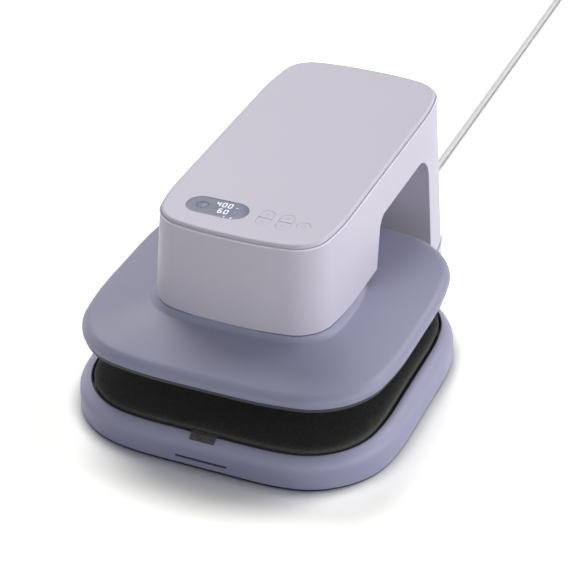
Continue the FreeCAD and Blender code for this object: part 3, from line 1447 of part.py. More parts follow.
def makePlatenScrews():
    """Screws up through the backing plate into the bosses of the platen shell."""
    screws = []
    for i, (x, y) in enumerate(bossSpots()):
        screws.append(rod("platen_screw%d" % i, "Z", (x, y, backingLevel - s.screwHeadHeight), s.screwHeadRadius,
                          s.screwHeadHeight))
    keep("platen_screws", fuse("platen_screw_group", *screws))


# Cord: strain relief, straight stretch on the surface, put-away coil, plug
cordLevel = s.cordRadius + s.cordGap
reliefTip = halfDepth + s.reliefLength


def makeRelief():
    inside = rod("relief_body", "Y", (s.cordX, halfDepth - s.shellWall * 2, s.cordExitLevel), s.reliefRadius,
                 s.shellWall * 2)
    boot = taper("relief_boot", "Y", (s.cordX, halfDepth, s.cordExitLevel), s.reliefRadius, s.reliefTipRadius,
                 s.reliefLength)
    keep("strain_relief", fuse("strain_relief_solid", inside, boot))


def roundedPath(points, label):
    """Straight runs joined by tangent arcs, each taking up a share of the shorter run beside it."""
    arcShare = 0.45
    corners = []
    for before, here, after in zip(points, points[1:], points[2:]):
        into = here - before
        out = after - here
        half = into.getAngle(out) / 2
        radius = arcShare * min(into.Length, out.Length) / math.tan(half)
        corners.append((here, into.normalize(), out.normalize(), radius, radius * math.tan(half)))
    print(label, "radii", [round(corner[3], 1) for corner in corners])
    edges = []
    last = points[0]
    for here, into, out, radius, reach in corners:
        start = here - into * reach
        end = here + out * reach
        inward = (out - into).normalize()
        toCentre = math.sqrt(radius * radius + reach * reach)
        middle = here + inward * (toCentre - radius)
        edges.append(Part.LineSegment(last, start).toShape())
        edges.append(Part.Arc(start, middle, end).toShape())
        last = end
    edges.append(Part.LineSegment(last, points[-1]).toShape())
    return edges


def tubeAlong(edges, radius, name):
    """A round tube along a path; prints how its volume compares with section times length."""
    path = Part.Wire(edges)
    start = edges[0].Vertexes[0].Point
    heading = edges[0].tangentAt(edges[0].FirstParameter)
    ring = Part.Wire([Part.makeCircle(radius, start, heading)])
    solid = path.makePipeShell([ring], True, False)
    share = solid.Volume / (math.pi * radius * radius * path.Length)
    print(name, "length", round(path.Length, 1), "volume share", round(share, 5))
    tube = doc.addObject("Part::Feature", name + "_tube")
    tube.Shape = solid
    return keep(name, tube)


def makeCord():
    x = number(s.cordX)
    straightEnd = reliefTip + s.cordStraightRun
    route = (
        (reliefTip, s.cordExitLevel),
        (straightEnd, s.cordExitLevel),
        (straightEnd + s.cordDropRun, cordLevel),
        (s.coilCentreY, cordLevel),
    )
    points = [FreeCAD.Vector(x, number(y), number(z)) for y, z in route]
    tubeAlong(roundedPath(points, "power_cord"), number(s.cordRadius), "power_cord")


def coilPoint(angle):
    """A point of the coil: it spirals in on the surface, climbs a layer in the half turn where the
    spiral reverses, and spirals out on top."""
    turns = number(s.coilTurns)
    climbStart = math.pi * (turns - 0.5)
    climbEnd = climbStart + math.pi
    pitch = number(s.coilPitch) / (2 * math.pi)
    base = number(s.coilRadius)
    deepest = base - pitch * climbStart
    if angle <= climbStart:
        radius = base - pitch * angle
        rise = 0.0
    elif angle < climbEnd:
        share = (angle - climbStart) / math.pi
        radius = deepest - pitch * math.pi * share * (1 - share)
        rise = (1 - math.cos(math.pi * share)) / 2
    else:
        radius = deepest + pitch * (angle - climbEnd)
        rise = 1.0
    centreX = number(s.cordX) - base
    level = number(cordLevel) + rise * number(s.coilLayer)
    return FreeCAD.Vector(centreX + radius * math.cos(angle),
                          number(s.coilCentreY) + radius * math.sin(angle), level)


def coilHeading(angle):
    """The unit direction of travel along the coil at an angle."""
    step = 1e-4
    return (coilPoint(angle + step) - coilPoint(angle - step)).normalize()


def biarc(start, startWay, end, endWay):
    """Two arcs that leave one point and reach another, each in its own given direction."""
    gap = end - start
    both = startWay + endWay
    turn = 2 * (1 - startWay.dot(endWay))
    along = gap.dot(both)
    reach = (math.sqrt(along * along + turn * gap.dot(gap)) - along) / turn
    first = start + startWay * reach
    last = end - endWay * reach
    joint = (first + last) * 0.5
    arcs = []
    for a, corner, b in ((start, first, joint), (joint, last, end)):
        half = (corner - a).getAngle(b - corner) / 2
        outward = (corner - (a + b) * 0.5).normalize()
        chord = (b - a).Length / 2
        arcs.append(Part.Arc(a, (a + b) * 0.5 + outward * (chord * math.tan(half / 2)), b).toShape())
    return arcs


def makeCoil():
    quarters = int(round(number(s.coilTurns) * 4)) + 1
    total = 2 * math.pi * number(s.coilTurns)
    angles = [total * i / quarters for i in range(quarters + 1)]
    ways = [coilHeading(angle) for angle in angles]
    ways[0] = FreeCAD.Vector(0, 1, 0)
    ways[-1] = FreeCAD.Vector(ways[-1].x, ways[-1].y, 0).normalize()
    spots = [coilPoint(angle) for angle in angles]
    edges = []
    for i in range(quarters):
        edges.extend(biarc(spots[i], ways[i], spots[i + 1], ways[i + 1]))
    stub = number(s.cordStub)
    edges.append(Part.makeLine(spots[-1], spots[-1] + ways[-1] * stub))
    tubeAlong(edges, number(s.cordRadius), "cord_coil")
    printLeastGap(edges)
    return spots[-1] + ways[-1] * stub, ways[-1]


def printLeastGap(edges):
    """Measures the least gap between turns on points along the coil, leaving near neighbours out."""
    points = []
    step = 2.0
    for edge in edges:
        count = max(2, int(edge.Length / step))
        for point in edge.discretize(count)[:-1]:
            points.append(point)
    travelled = [0.0]
    for a, b in zip(points, points[1:]):
        travelled.append(travelled[-1] + (b - a).Length)
    least = min((points[i] - points[j]).Length for i in range(len(points)) for j in range(i)
                if travelled[i] - travelled[j] > 60.0)
    print("cord_coil least gap", round(least - 2 * number(s.cordRadius), 2))


def makePlug(end, way):
    """The plug lies on the surface past the coil, turned to the cord's end."""
    turn = FreeCAD.Rotation(FreeCAD.Vector(1, 0, 0), way)
    where = FreeCAD.Placement(end, turn)
    neck = number(s.plugNeckLength)
    length = number(s.plugLength)
    wide = number(s.plugWidth) / 2
    tall = min(number(s.plugHeight) / 2, end.z)
    cone = Part.makeCone(number(s.plugNeckTipRadius), number(s.plugNeckRadius), neck,
                         FreeCAD.Vector(0, 0, 0), FreeCAD.Vector(1, 0, 0))
    grip = Part.makeBox(length, wide * 2, tall * 2, FreeCAD.Vector(neck, -wide, -tall))
    grip = grip.makeFillet(number(s.plugRound), [edge for edge in grip.Edges if isAlongX(edge)])
    body = cone.fuse(grip)
    body.Placement = where
    plug = doc.addObject("Part::Feature", "plug_body_solid")
    plug.Shape = body
    keep("plug_body", plug)
    face = neck + length
    blades = []
    for side in (-1, 1):
        low = FreeCAD.Vector(face, side * number(s.bladeSpacing) / 2 - number(s.bladeThickness) / 2,
                             number(s.bladeRise - s.bladeWidth / 2))
        blades.append(Part.makeBox(number(s.bladeLength), number(s.bladeThickness), number(s.bladeWidth), low))
    earthLevel = number(s.bladeRise - s.earthDrop)
    blades.append(Part.makeCylinder(number(s.earthRadius), number(s.earthLength),
                                    FreeCAD.Vector(face, 0, earthLevel), FreeCAD.Vector(1, 0, 0)))
    group = Part.makeCompound(blades)
    group.Placement = where
    pins = doc.addObject("Part::Feature", "plug_blades_solid")
    pins.Shape = group
    keep("plug_blades", pins)


def isAlongX(edge):
    first, last = edge.Vertexes[0].Point, edge.Vertexes[-1].Point
    return abs(first.y - last.y) < 1e-6 and abs(first.z - last.z) < 1e-6


makeBaseShell()
makeBottomPlate()
makeFeet()
makeBottomScrews()
makeBaseFrame()
makeBrackets()
makeHingePin()
makeTorsionSprings()
makeBumpers()
makeMainsBoard()
makePad()
makeTab()
makeArmHousing()
makeTopCover()
makeButtons()
makeWindow()
makeControlBoard()
makeCheeks()
makeBarrel()
makeCrossPlates()
makeMainBoard()
makeMotor()
makeFrameScrews()
makePlatenShell()
makePlatenRim()
makeNeck()
makeColumn()
makeHeatStack()
makeElement()
makePlatenScrews()
makeRelief()
makeCord()
cordEnd, cordWay = makeCoil()
makePlug(cordEnd, cordWay)

doc.recompute()

# Every object must have built before anything is written
faults = ["%s: %s" % (thing.Label, thing.State) for thing in doc.Objects
          if "Invalid" in thing.State or "Error" in thing.State]
faults += ["%s has no valid shape" % node for node, thing in nodes.items()
           if thing.Shape.isNull() or not thing.Shape.isValid()]
if faults:
    raise RuntimeError("; ".join(faults))

os.makedirs("parts", exist_ok=True)
for node, thing in nodes.items():
    thing.Shape.exportStep("parts/%s.step" % node)
print(len(nodes), "sub-parts written")
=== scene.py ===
import bpy
import math
import numpy as np
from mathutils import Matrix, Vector
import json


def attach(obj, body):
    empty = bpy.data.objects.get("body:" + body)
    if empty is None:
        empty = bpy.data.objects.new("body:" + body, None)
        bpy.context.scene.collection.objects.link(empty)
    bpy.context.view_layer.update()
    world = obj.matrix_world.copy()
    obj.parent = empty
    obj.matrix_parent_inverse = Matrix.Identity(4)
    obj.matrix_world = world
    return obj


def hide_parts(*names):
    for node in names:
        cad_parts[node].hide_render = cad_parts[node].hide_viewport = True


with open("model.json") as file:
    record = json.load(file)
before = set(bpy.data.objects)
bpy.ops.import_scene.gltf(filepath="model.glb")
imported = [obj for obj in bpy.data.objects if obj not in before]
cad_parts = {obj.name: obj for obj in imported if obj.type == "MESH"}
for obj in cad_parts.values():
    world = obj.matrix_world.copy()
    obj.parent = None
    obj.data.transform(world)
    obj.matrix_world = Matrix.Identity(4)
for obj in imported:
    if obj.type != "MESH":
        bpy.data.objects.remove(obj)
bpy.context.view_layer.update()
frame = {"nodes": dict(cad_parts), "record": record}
print("frame loaded,", len(frame["nodes"]), "nodes")

# the pieces' grids are in millimetres and become metres when they are joined
mm = 0.001

# camera, in metres: the photograph's viewing angle
camera = {
    "place": (0.9058, -2.1760, 1.6333),
    "target": (0.0001, -0.0158, 0.1020),
    "lens": 129.2,
    "sensor": 36.0,
}
eye = bpy.data.cameras.new("eye")
eye.lens = camera["lens"]
eye.sensor_width = camera["sensor"]
eye.clip_end = 60
eyeObject = bpy.data.objects.new("eye", eye)
bpy.context.scene.collection.objects.link(eyeObject)
eyeObject.location = camera["place"]
gaze = Vector(camera["target"]) - Vector(camera["place"])
eyeObject.rotation_euler = gaze.to_track_quat("-Z", "Y").to_euler()
bpy.context.scene.camera = eyeObject


# shader maths: sums, products and powers of signals add their Math nodes
class Signal:
    def __init__(self, shading, socket):
        self.shading = shading
        self.socket = socket

    def maths(self, operation, *values):
        made = self.shading.node("ShaderNodeMath", {"operation": operation}, dict(enumerate(values)))
        return made("Value")

    def __add__(self, other):
        return self.maths("ADD", self, other)

    def __sub__(self, other):
        return self.maths("SUBTRACT", self, other)

    def __mul__(self, other):
        return self.maths("MULTIPLY", self, other)

    def __truediv__(self, other):
        return self.maths("DIVIDE", self, other)

    def __pow__(self, other):
        return self.maths("POWER", self, other)

    def __radd__(self, other):
        return self.maths("ADD", other, self)

    def __rsub__(self, other):
        return self.maths("SUBTRACT", other, self)

    def __rmul__(self, other):
        return self.maths("MULTIPLY", other, self)

    def sine(self):
        return self.maths("SINE", self)

    def clamp(self):
        return self.maths("MINIMUM", self.maths("MAXIMUM", self, 0.0), 1.0)


class Shading:
    # a node tree with one shader that is fed: a value sets a socket and a signal is linked to it
    def __init__(self, holder, shader):
        holder.use_nodes = True
        self.tree = holder.node_tree
        self.shader = self.tree.nodes[shader]

    def feed(self, name, value):
        self.put(self.shader.inputs[name], value)

    def put(self, socket, value):
        if isinstance(value, Signal):
            self.tree.links.new(value.socket, socket)
        else:
            socket.default_value = value

    def node(self, kind, settings=None, values=None):
        made = self.tree.nodes.new(kind)
        for name, value in (settings or {}).items():
            setattr(made, name, value)
        for name, value in (values or {}).items():
            self.put(made.inputs[name], value)
        return lambda name: Signal(self, made.outputs[name])


class Finish(Shading):
    # a material with one Principled shader; plain holds the numbers that are the same all over
    def __init__(self, name, colour, roughness=0.5, **plain):
        self.material = bpy.data.materials.new(name)
        super().__init__(self.material, "Principled BSDF")
        self.feed("Base Color", (*colour, 1.0))
        self.feed("Roughness", roughness)
        for key, value in plain.items():
            self.feed(key.replace("_", " "), value)
        self.material.diffuse_color = (*colour, 1.0)

    def place(self):
        return self.node("ShaderNodeTexCoord")("Object")

    def noise(self, scale, detail, place=None):
        place = place or self.place()
        return self.node("ShaderNodeTexNoise", None, {"Vector": place, "Scale": scale, "Detail": detail})("Fac")

    def axes(self):
        parts = self.node("ShaderNodeSeparateXYZ", None, {"Vector": self.place()})
        return parts("X"), parts("Y"), parts("Z")

    def blend(self, share, first, second):
        # a colour between two, share of the way to the second; 6, 7 and 2 are the node's colour sockets
        return self.node("ShaderNodeMix", {"data_type": "RGBA"}, {"Factor": share, 6: first, 7: second})(2)

    def bump(self, height, distance, strength=1.0):
        made = self.node("ShaderNodeBump", None, {"Strength": strength, "Distance": distance, "Height": height})
        self.feed("Normal", made("Normal"))


def shade(colour, factor):
    return (*[min(1.0, c * factor) for c in colour], 1.0)


def moulded(name, colour, roughness=0.42, grain=0.00003, scale=2600.0, **plain):
    # moulded plastic: a fine spark-eroded grain, slow drifts of tone and of gloss
    finish = Finish(name, colour, roughness, **plain)
    drift = finish.noise(9.0, 2.0)
    finish.feed("Base Color", finish.blend(drift, shade(colour, 0.985), shade(colour, 1.015)))
    finish.feed("Roughness", roughness - 0.04 + drift * 0.08)
    if grain:
        finish.bump(finish.noise(scale, 1.0), grain)
    return finish.material


def keyWithPaintedShade(name, colour, top=0.291, fade=0.0002, side=0.3):
    # a key: plain on top, and darker below the height top, where its sides stand in the cover's opening; the darker
    # sides are painted shade, the shade that falls in the gap round the key
    finish = Finish(name, colour, 0.4)
    height = finish.axes()[2]
    drift = finish.noise(60.0, 1.0)
    face = finish.blend(drift, shade(colour, 0.985), shade(colour, 1.015))
    # painted shade on the key's sides below the height top
    finish.feed("Base Color", finish.blend(((top - height) / fade).clamp(), face, shade(colour, side)))
    return finish.material


def metal(name, colour, roughness, streak=(4.0, 900.0, 900.0)):
    # worked metal: fine streaks along X
    finish = Finish(name, colour, roughness, Metallic=1.0)
    stretched = finish.node("ShaderNodeMapping", None, {"Vector": finish.place(), "Scale": streak})("Vector")
    grain = finish.noise(1.0, 2.0, place=stretched)
    finish.feed("Roughness", roughness - 0.08 + grain * 0.16)
    finish.feed("Base Color", finish.blend(grain, shade(colour, 0.9), shade(colour, 1.08)))
    return finish.material


def cloth(name, colour, edge=None, edgeTop=0.0, stitchSize=0.0012, edgeFade=0.0035):
    # knitted cloth: crossed waves are the stitches, two noises the uneven tone; where a colour for the edge is given,
    # the cloth turns to it below the height edgeTop, over the height edgeFade. A lighter edge colour is painted
    # light: lit sides, shaded top
    finish = Finish(name, colour, 0.92, Specular_IOR_Level=0.3)
    x, y, z = finish.axes()
    turns = 2 * math.pi / stitchSize
    stitch = (x * turns).sine() * (y * turns).sine()
    tone = (stitch * 0.12 + finish.noise(300.0, 2.0) * 1.9 + finish.noise(60.0, 1.0) * 0.6 - 0.75).clamp()
    face = finish.blend(tone, shade(colour, 0.55), shade(colour, 1.5))
    if edge:
        side = finish.blend(tone, shade(edge, 0.8), shade(edge, 1.22))
        face = finish.blend(((edgeTop - z) / edgeFade).clamp(), face, side)
    finish.feed("Base Color", face)
    finish.bump(stitch * 0.5 + tone, 0.00025, 0.6)
    return finish.material


def smoked(name, colour, paintedGlow, middle, reach):
    # smoked glass over lit digits with a painted glow: the base colour turns to the glow colour, 1 at the middle,
    # falling as the square of the way, to 0 at reach; it paints the digits' light in the glass
    finish = Finish(name, colour, 0.3)
    x, y = finish.axes()[:2]
    away = ((x - middle[0]) / reach[0]) ** 2.0 + ((y - middle[1]) / reach[1]) ** 2.0
    finish.feed("Base Color", finish.blend((1.0 - away).clamp(), (*colour, 1.0), (*paintedGlow, 1.0)))
    return finish.material


def lit(name, colour, strength):
    # a light of one colour
    finish = Finish(name, colour, 0.4, Emission_Strength=strength)
    finish.feed("Emission Color", (*colour, 1.0))
    return finish.material


colours = {  # of the large forms, linear
    "arm": (0.565, 0.537, 0.638),
    "base": (0.315, 0.314, 0.462),
    "platen": (0.262, 0.262, 0.385),
    "window": (0.139, 0.143, 0.232),
    "windowPaintedGlow": (0.112, 0.112, 0.258),
    "keys": (0.555, 0.528, 0.628),
}

finishes = {
    "arm_plastic": moulded("lilacPlastic", colours["arm"]),
    "base_plastic": moulded("bluePurplePlastic", colours["base"]),
    "platen_plastic": moulded("platenPlastic", colours["platen"]),
    "dark_plastic": moulded("darkPlastic", (0.03, 0.03, 0.034), 0.5),
    "soft_rubber": moulded("footRubber", (0.03, 0.03, 0.03), 0.75, 0.00006, 900.0),
    "cord_plastic": moulded("cordPlastic", (0.64, 0.64, 0.65), 0.45),
    "window": smoked("smokedWindow", colours["window"], colours["windowPaintedGlow"], (-0.0325, -0.1445), (0.02, 0.017)),
    "display": moulded("displayBlack", (0.02, 0.02, 0.03), 0.2, 0.0),
    "start_key": moulded("startKeyPlastic", (0.19, 0.19, 0.27), 0.3),
    "keys": keyWithPaintedShade("keyPlastic", colours["keys"]),
    "steel": metal("coatedSteel", (0.22, 0.22, 0.24), 0.5),
    "bright_steel": metal("brightSteel", (0.62, 0.62, 0.64), 0.28),
    "bearing_brass": metal("bearingBrass", (0.72, 0.56, 0.28), 0.32),
    "motor_metal": metal("motorMetal", (0.1, 0.1, 0.11), 0.45),
    "heat_plate": metal("plateCoating", (0.14, 0.14, 0.15), 0.42),
    "insulation": moulded("mineralBoard", (0.78, 0.74, 0.66), 0.85, 0.0004, 700.0),
    "circuit_board": moulded("circuitBoard", (0.03, 0.2, 0.09), 0.4),
    # the pad's lighter sides are painted light, for the front light the sides catch while the top lies in the
    # platen's shade
    "pad_fabric": cloth("padFabric", (0.016, 0.016, 0.016), (0.062, 0.062, 0.059), 0.0522),
    "tab_fabric": cloth("tabFabric", (0.088, 0.088, 0.088)),
    "rim_plastic": moulded("rimPlastic", (0.018, 0.018, 0.02), 0.5),
    "power_plastic": keyWithPaintedShade("powerKeyPlastic", (0.57, 0.55, 0.59)),
    # painted highlight: the seam bead's colour is lighter than the housing's
    "bead_painted_highlight": moulded("beadPaintedHighlight", (0.74, 0.72, 0.8), 0.4, 0.0),
    # painted shade: a dark strip on the recess's rim
    "recess_shade_dark": moulded("recessShadeStrip", (0.02, 0.02, 0.045), 0.7, 0.0),
    # painted shade: a dark insert in the finger groove
    "groove_shade_dark": moulded("grooveShadeInsert", (0.05, 0.05, 0.1), 0.9, 0.0, Specular_IOR_Level=0.1),
    "digits": lit("litDigits", (0.8, 0.82, 1.0), 0.78),
    "faint_print": moulded("faintPrint", (0.36, 0.36, 0.46), 0.4, 0.0),
    "marks": moulded("keyMarks", (0.36, 0.33, 0.42), 0.5, 0.0),
}

special = {"power_button": "power_plastic"}
slots = set()
for piece in frame["record"]["subparts"]:
    slots.add(piece["material_slot"])
    mesh = frame["nodes"][piece["node"]].data
    mesh.materials.clear()
    mesh.materials.append(finishes[special.get(piece["node"], piece["material_slot"])])
print("finishes given to the frame's nodes")


def laid(name, data, body, finish, *replaced):
    # a piece of the scene on its body; the slot is the finish's name where the record has such a slot
    made = bpy.data.objects.new(name, data)
    bpy.context.scene.collection.objects.link(made)
    data.materials.append(finishes[finish])
    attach(made, body)
    if replaced:
        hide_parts(*replaced)
    return made


# how an outline is drawn: degrees and points of a corner's outer arcs, points of its middle arc and of a side
fineness = {"lead": 10, "leadPoints": 4, "middlePoints": 22, "sidePoints": 6}


def ringOf(outline):
    # a rounded rectangle seen from above: each corner is three arcs that meet without a kink, the outer two of
    # radius end over the lead's degrees each, the middle one of radius mid. Points and outward normals, turning left
    half, mid, end = outline["half"], outline["mid"], outline["end"]
    lead, ends = math.radians(fineness["lead"]), fineness["leadPoints"]
    reach = end * (1 - math.cos(lead) + math.sin(lead)) + mid * (math.cos(lead) - math.sin(lead))
    angle = np.concatenate([np.linspace(0, lead, ends),
                            np.linspace(lead, math.pi / 2 - lead, fineness["middlePoints"])[1:-1],
                            np.linspace(math.pi / 2 - lead, math.pi / 2, ends)])
    along, across = np.cos(angle), np.sin(angle)
    first, last = angle <= lead + 1e-9, angle >= math.pi / 2 - lead - 1e-9
    x = np.select([first, last], [half[0] - end + end * along, half[0] - reach + end * along],
                  half[0] - end + (end - mid) * math.cos(lead) + mid * along)
    y = np.select([first, last], [half[1] - reach + end * across, half[1] - end + end * across],
                  half[1] - reach + (end - mid) * math.sin(lead) + mid * across)
    quarter = np.stack([x, y, along, across], axis=1)
    turns = [quarter, quarter[::-1] * (-1, 1, -1, 1), -quarter, quarter[::-1] * (1, -1, 1, -1)]
    sides = [np.linspace(a[-1], b[0], fineness["sidePoints"] + 2)[1:-1] for a, b in zip(turns, turns[1:] + turns[:1])]
    ring = np.concatenate([part for pair in zip(turns, sides) for part in pair])
    return ring[:, :2] + outline["centre"], ring[:, 2:]


def level(points, height):
    return np.concatenate([points, np.broadcast_to(height, (len(points),))[:, None]], axis=1)


def carried(outline, profile):
    # a profile of insets and heights carried round an outline
    ring, out = ringOf(outline)
    return np.array([level(ring - out * inset, height) for inset, height in profile])


def circle(count, start=0.0, turn=2 * math.pi):
    return start + np.linspace(0, turn, count, endpoint=False)


def joined(name, grids, wraps=False):
    # quads between the rows of each grid; every row closes on itself, and the rows either close on themselves
    # too or end in a point at the middle of the first and of the last one
    points, faces, count = [], [], 0
    for grid in grids:
        rows, columns = grid.shape[:2]
        number = np.arange(rows * columns).reshape(rows, columns) + count
        points.append(grid.reshape(-1, 3))
        count += rows * columns
        if wraps:
            number = np.vstack([number, number[:1]])
        beside = np.roll(number, -1, axis=1)
        faces += np.stack([number[:-1], beside[:-1], beside[1:], number[1:]], axis=-1).reshape(-1, 4).tolist()
        if not wraps:
            points += [grid[0].mean(axis=0)[None], grid[-1].mean(axis=0)[None]]
            faces += np.stack([np.full(columns, count), beside[0], number[0]], axis=-1).tolist()
            faces += np.stack([number[-1], beside[-1], np.full(columns, count + 1)], axis=-1).tolist()
            count += 2
    mesh = bpy.data.meshes.new(name)
    mesh.from_pydata((np.concatenate(points) * mm).tolist(), [], faces)
    mesh.shade_smooth()
    return mesh


def plates(name, outlines, low, high):
    # flat plates of one outline each, all with the same number of corners: two faces and the edge between
    count, sides = outlines.shape[:2]
    flat = outlines.reshape(-1, 2)
    points = np.concatenate([level(flat, low), level(flat, high)])
    bottom = np.arange(count * sides).reshape(count, sides)
    top, after = bottom + count * sides, np.roll(bottom, -1, axis=1)
    edge = np.stack([bottom, after, after + count * sides, top], axis=-1).reshape(-1, 4)
    mesh = bpy.data.meshes.new(name)
    mesh.from_pydata((points * mm).tolist(), [], bottom[:, ::-1].tolist() + top.tolist() + edge.tolist())
    return mesh


def bar(path, width, low, high, corners=12):
    # a flat rounded strip along a path: an oval section whose width follows a half circle at both ends, which
    # stops just short of its point
    path = np.asarray(path, float)
    run = np.gradient(path, axis=0)
    run /= np.linalg.norm(run, axis=1, keepdims=True)
    gone = np.concatenate([[0], np.cumsum(np.linalg.norm(np.diff(path, axis=0), axis=1))])
    short = np.clip(1 - np.minimum(gone, gone[-1] - gone) / (width / 2), 0, 0.995)
    half = width / 2 * np.sqrt(1 - short ** 2)
    turn = circle(corners)
    across = half[:, None] * np.cos(turn)
    rise = (low + high) / 2 + (high - low) / 2 * np.sign(np.sin(turn)) * np.abs(np.sin(turn)) ** 0.5
    left = np.stack([-run[:, 1], run[:, 0]], axis=1)
    plan = path[:, None, :] + left[:, None, :] * across[:, :, None]
    return np.concatenate([plan, np.broadcast_to(rise, across.shape)[:, :, None]], axis=2)


# platen shell: a soft shoulder, a straight slope up to the head, and a concave flare right under it
platen = {
    "outline": {"half": (215.0, 216.8), "mid": 104.0, "end": 457.0, "centre": (0.0, -79.3)},
    "head": {"half": (127.88, 96.6), "mid": 54.0, "end": 270.0, "centre": (0.0, -114.2)},
    "edge": 120.8, "foot": [(0.8, 0.0), (0.24, 0.24), (0.0, 0.8)], "sideStart": 2.4, "side": 5.0, "sideRows": 3,
    "shoulderIn": 18.0, "shoulderUp": 12.2, "flareRadius": 11.0, "flareTurn": 76.0, "margin": -0.2, "top": 164.7,
    "under": (0.8, 4.0, 9.2), "wall": 3.0, "firstSlope": 0.35, "passes": 8, "rows": 12,
}


def platenGrid(d):
    # from ring to ring: the shoulder is a quarter ellipse left where its slope equals that of the straight run
    # to the head's outline, and the flare is an arc that turns from that slope to flareTurn degrees
    outer, out = ringOf(d["outline"])
    head, near = ringOf(d["head"])
    steep = math.radians(d["flareTurn"])
    sideTop = d["edge"] + d["side"]

    def shoulder(angle):
        inset = d["shoulderIn"] * (1 - np.cos(angle))
        return outer - out * inset[:, None], sideTop + d["shoulderUp"] * np.sin(angle)

    def flare(angle):
        grown = d["margin"] + d["flareRadius"] * (math.sin(steep) - np.sin(angle))
        return head + near * grown[:, None], d["top"] - d["flareRadius"] * (np.cos(angle) - math.cos(steep))

    slope = np.full(len(outer), d["firstSlope"])
    for step in range(d["passes"]):
        tip = np.arctan2(d["shoulderUp"], d["shoulderIn"] * slope)
        turn = np.arctan(slope)
        (low, lowLevel), (high, highLevel) = shoulder(tip), flare(turn)
        slope = (highLevel - lowLevel) / np.linalg.norm(high - low, axis=1)
    share = np.linspace(0, 1, d["rows"])
    rows = [level(outer - out * inset, d["edge"] + rise) for inset, rise in d["foot"]]
    rows += [level(outer, z) for z in np.linspace(d["edge"] + d["sideStart"], sideTop, d["sideRows"])]
    rows += [level(*shoulder(tip * s)) for s in share[1:]]
    rows += [level(low + (high - low) * s, lowLevel + (highLevel - lowLevel) * s) for s in share[1:-1]]
    rows += [level(*flare(turn + (steep - turn) * s)) for s in share]
    rows += [level(head - near * inset, d["top"]) for inset in d["under"]]
    skin = np.array(rows)
    run = np.roll(skin, -1, axis=1) - np.roll(skin, 1, axis=1)
    normal = np.cross(run, np.gradient(skin, axis=0))
    normal /= np.linalg.norm(normal, axis=2, keepdims=True)
    inside = (skin - d["wall"] * normal)[len(d["foot"]):][::-1]
    inside[0, :, :2], inside[0, :, 2] = skin[-1, :, :2], d["top"] - d["wall"]
    foot = level(outer - out * d["wall"], d["edge"])
    return np.concatenate([foot[None], skin, inside])


platenSkin = laid("platen_skin", joined("platen_skin", [platenGrid(platen)], wraps=True), "platen", "platen_plastic",
                  "platen_shell")

# rim under the skin: its outer face stands back under the skin's edge, and it slopes in below
rim = {
    "outline": platen["outline"],
    "profile": [(19.0, 110.8), (10.0, 110.8), (4.6, 113.4), (3.2, 114.0), (2.4, 114.6), (2.0, 115.6), (2.0, 119.6),
                (2.3, 120.5), (2.9, 120.8), (19.0, 120.8)],
}
rimRows = carried(rim["outline"], rim["profile"])
rimBand = laid("rim_band", joined("rim_band", [rimRows], wraps=True), "platen", "rim_plastic", "platen_rim")
print("platen skin and rim made")

# pressing pad: a firm cushion lying in the base's recess and bulging a little over its rim, its sides drawn in
# between the corners; its cover is blown up a little by a cloth simulation
pad = {
    "outline": {"half": (202.6, 209.8), "mid": 100.0, "end": 290.0, "centre": (0.0, -79.3)},
    "foot": 31.0, "crown": 1.0, "drawnIn": 1.2, "rings": 24,
    "edge": [(9.0, 0.0), (5.0, 0.05), (3.6, 0.6), (2.4, 2.6), (1.9, 6.0), (1.7, 10.0), (1.4, 13.4), (0.2, 14.8),
             (-0.7, 15.9), (-0.9, 17.0), (-0.2, 18.2), (1.6, 19.2), (4.4, 19.9), (7.5, 20.1)],
    "voxel": 4.5, "pressure": 4.0, "quality": 5, "stretch": 25, "bending": 1.5, "frames": 20,
    "growth": 1.7, "roof": 52.15,
}


def padGrid(d):
    # the edge's profile carried round the outline, then rings that shrink to the middle over a low crown; the
    # sides are drawn in by the square of one less the square of the way from their middle
    centre = d["outline"]["centre"]
    ring, out = ringOf(d["outline"])
    share = np.abs((ring - centre) / d["outline"]["half"])
    drawn = d["drawnIn"] * (np.abs(out) * (1 - share[:, ::-1] ** 2) ** 2).sum(axis=1)
    ring = ring - out * drawn[:, None]
    rows = [level(ring - out * inset, d["foot"] + rise) for inset, rise in d["edge"]]
    shrink = np.linspace(1, 0, d["rings"])[1:-1]
    middle = np.array([*centre, 0.0])
    top = [(rows[-1] - middle) * (s, s, 1) + middle + (0, 0, d["crown"] * (1 - s ** 2)) for s in shrink]
    base = [(rows[0] - middle) * (s, s, 1) + middle for s in shrink[::-1]]
    return np.array(base + rows + top)


def baked(holder):
    # the mesh as its modifiers leave it
    graph = bpy.context.evaluated_depsgraph_get()
    return bpy.data.meshes.new_from_object(holder.evaluated_get(graph), depsgraph=graph)


def pointsOf(mesh):
    found = np.empty(len(mesh.vertices) * 3, np.float32)
    mesh.vertices.foreach_get("co", found)
    return found.reshape(-1, 3).astype(float)


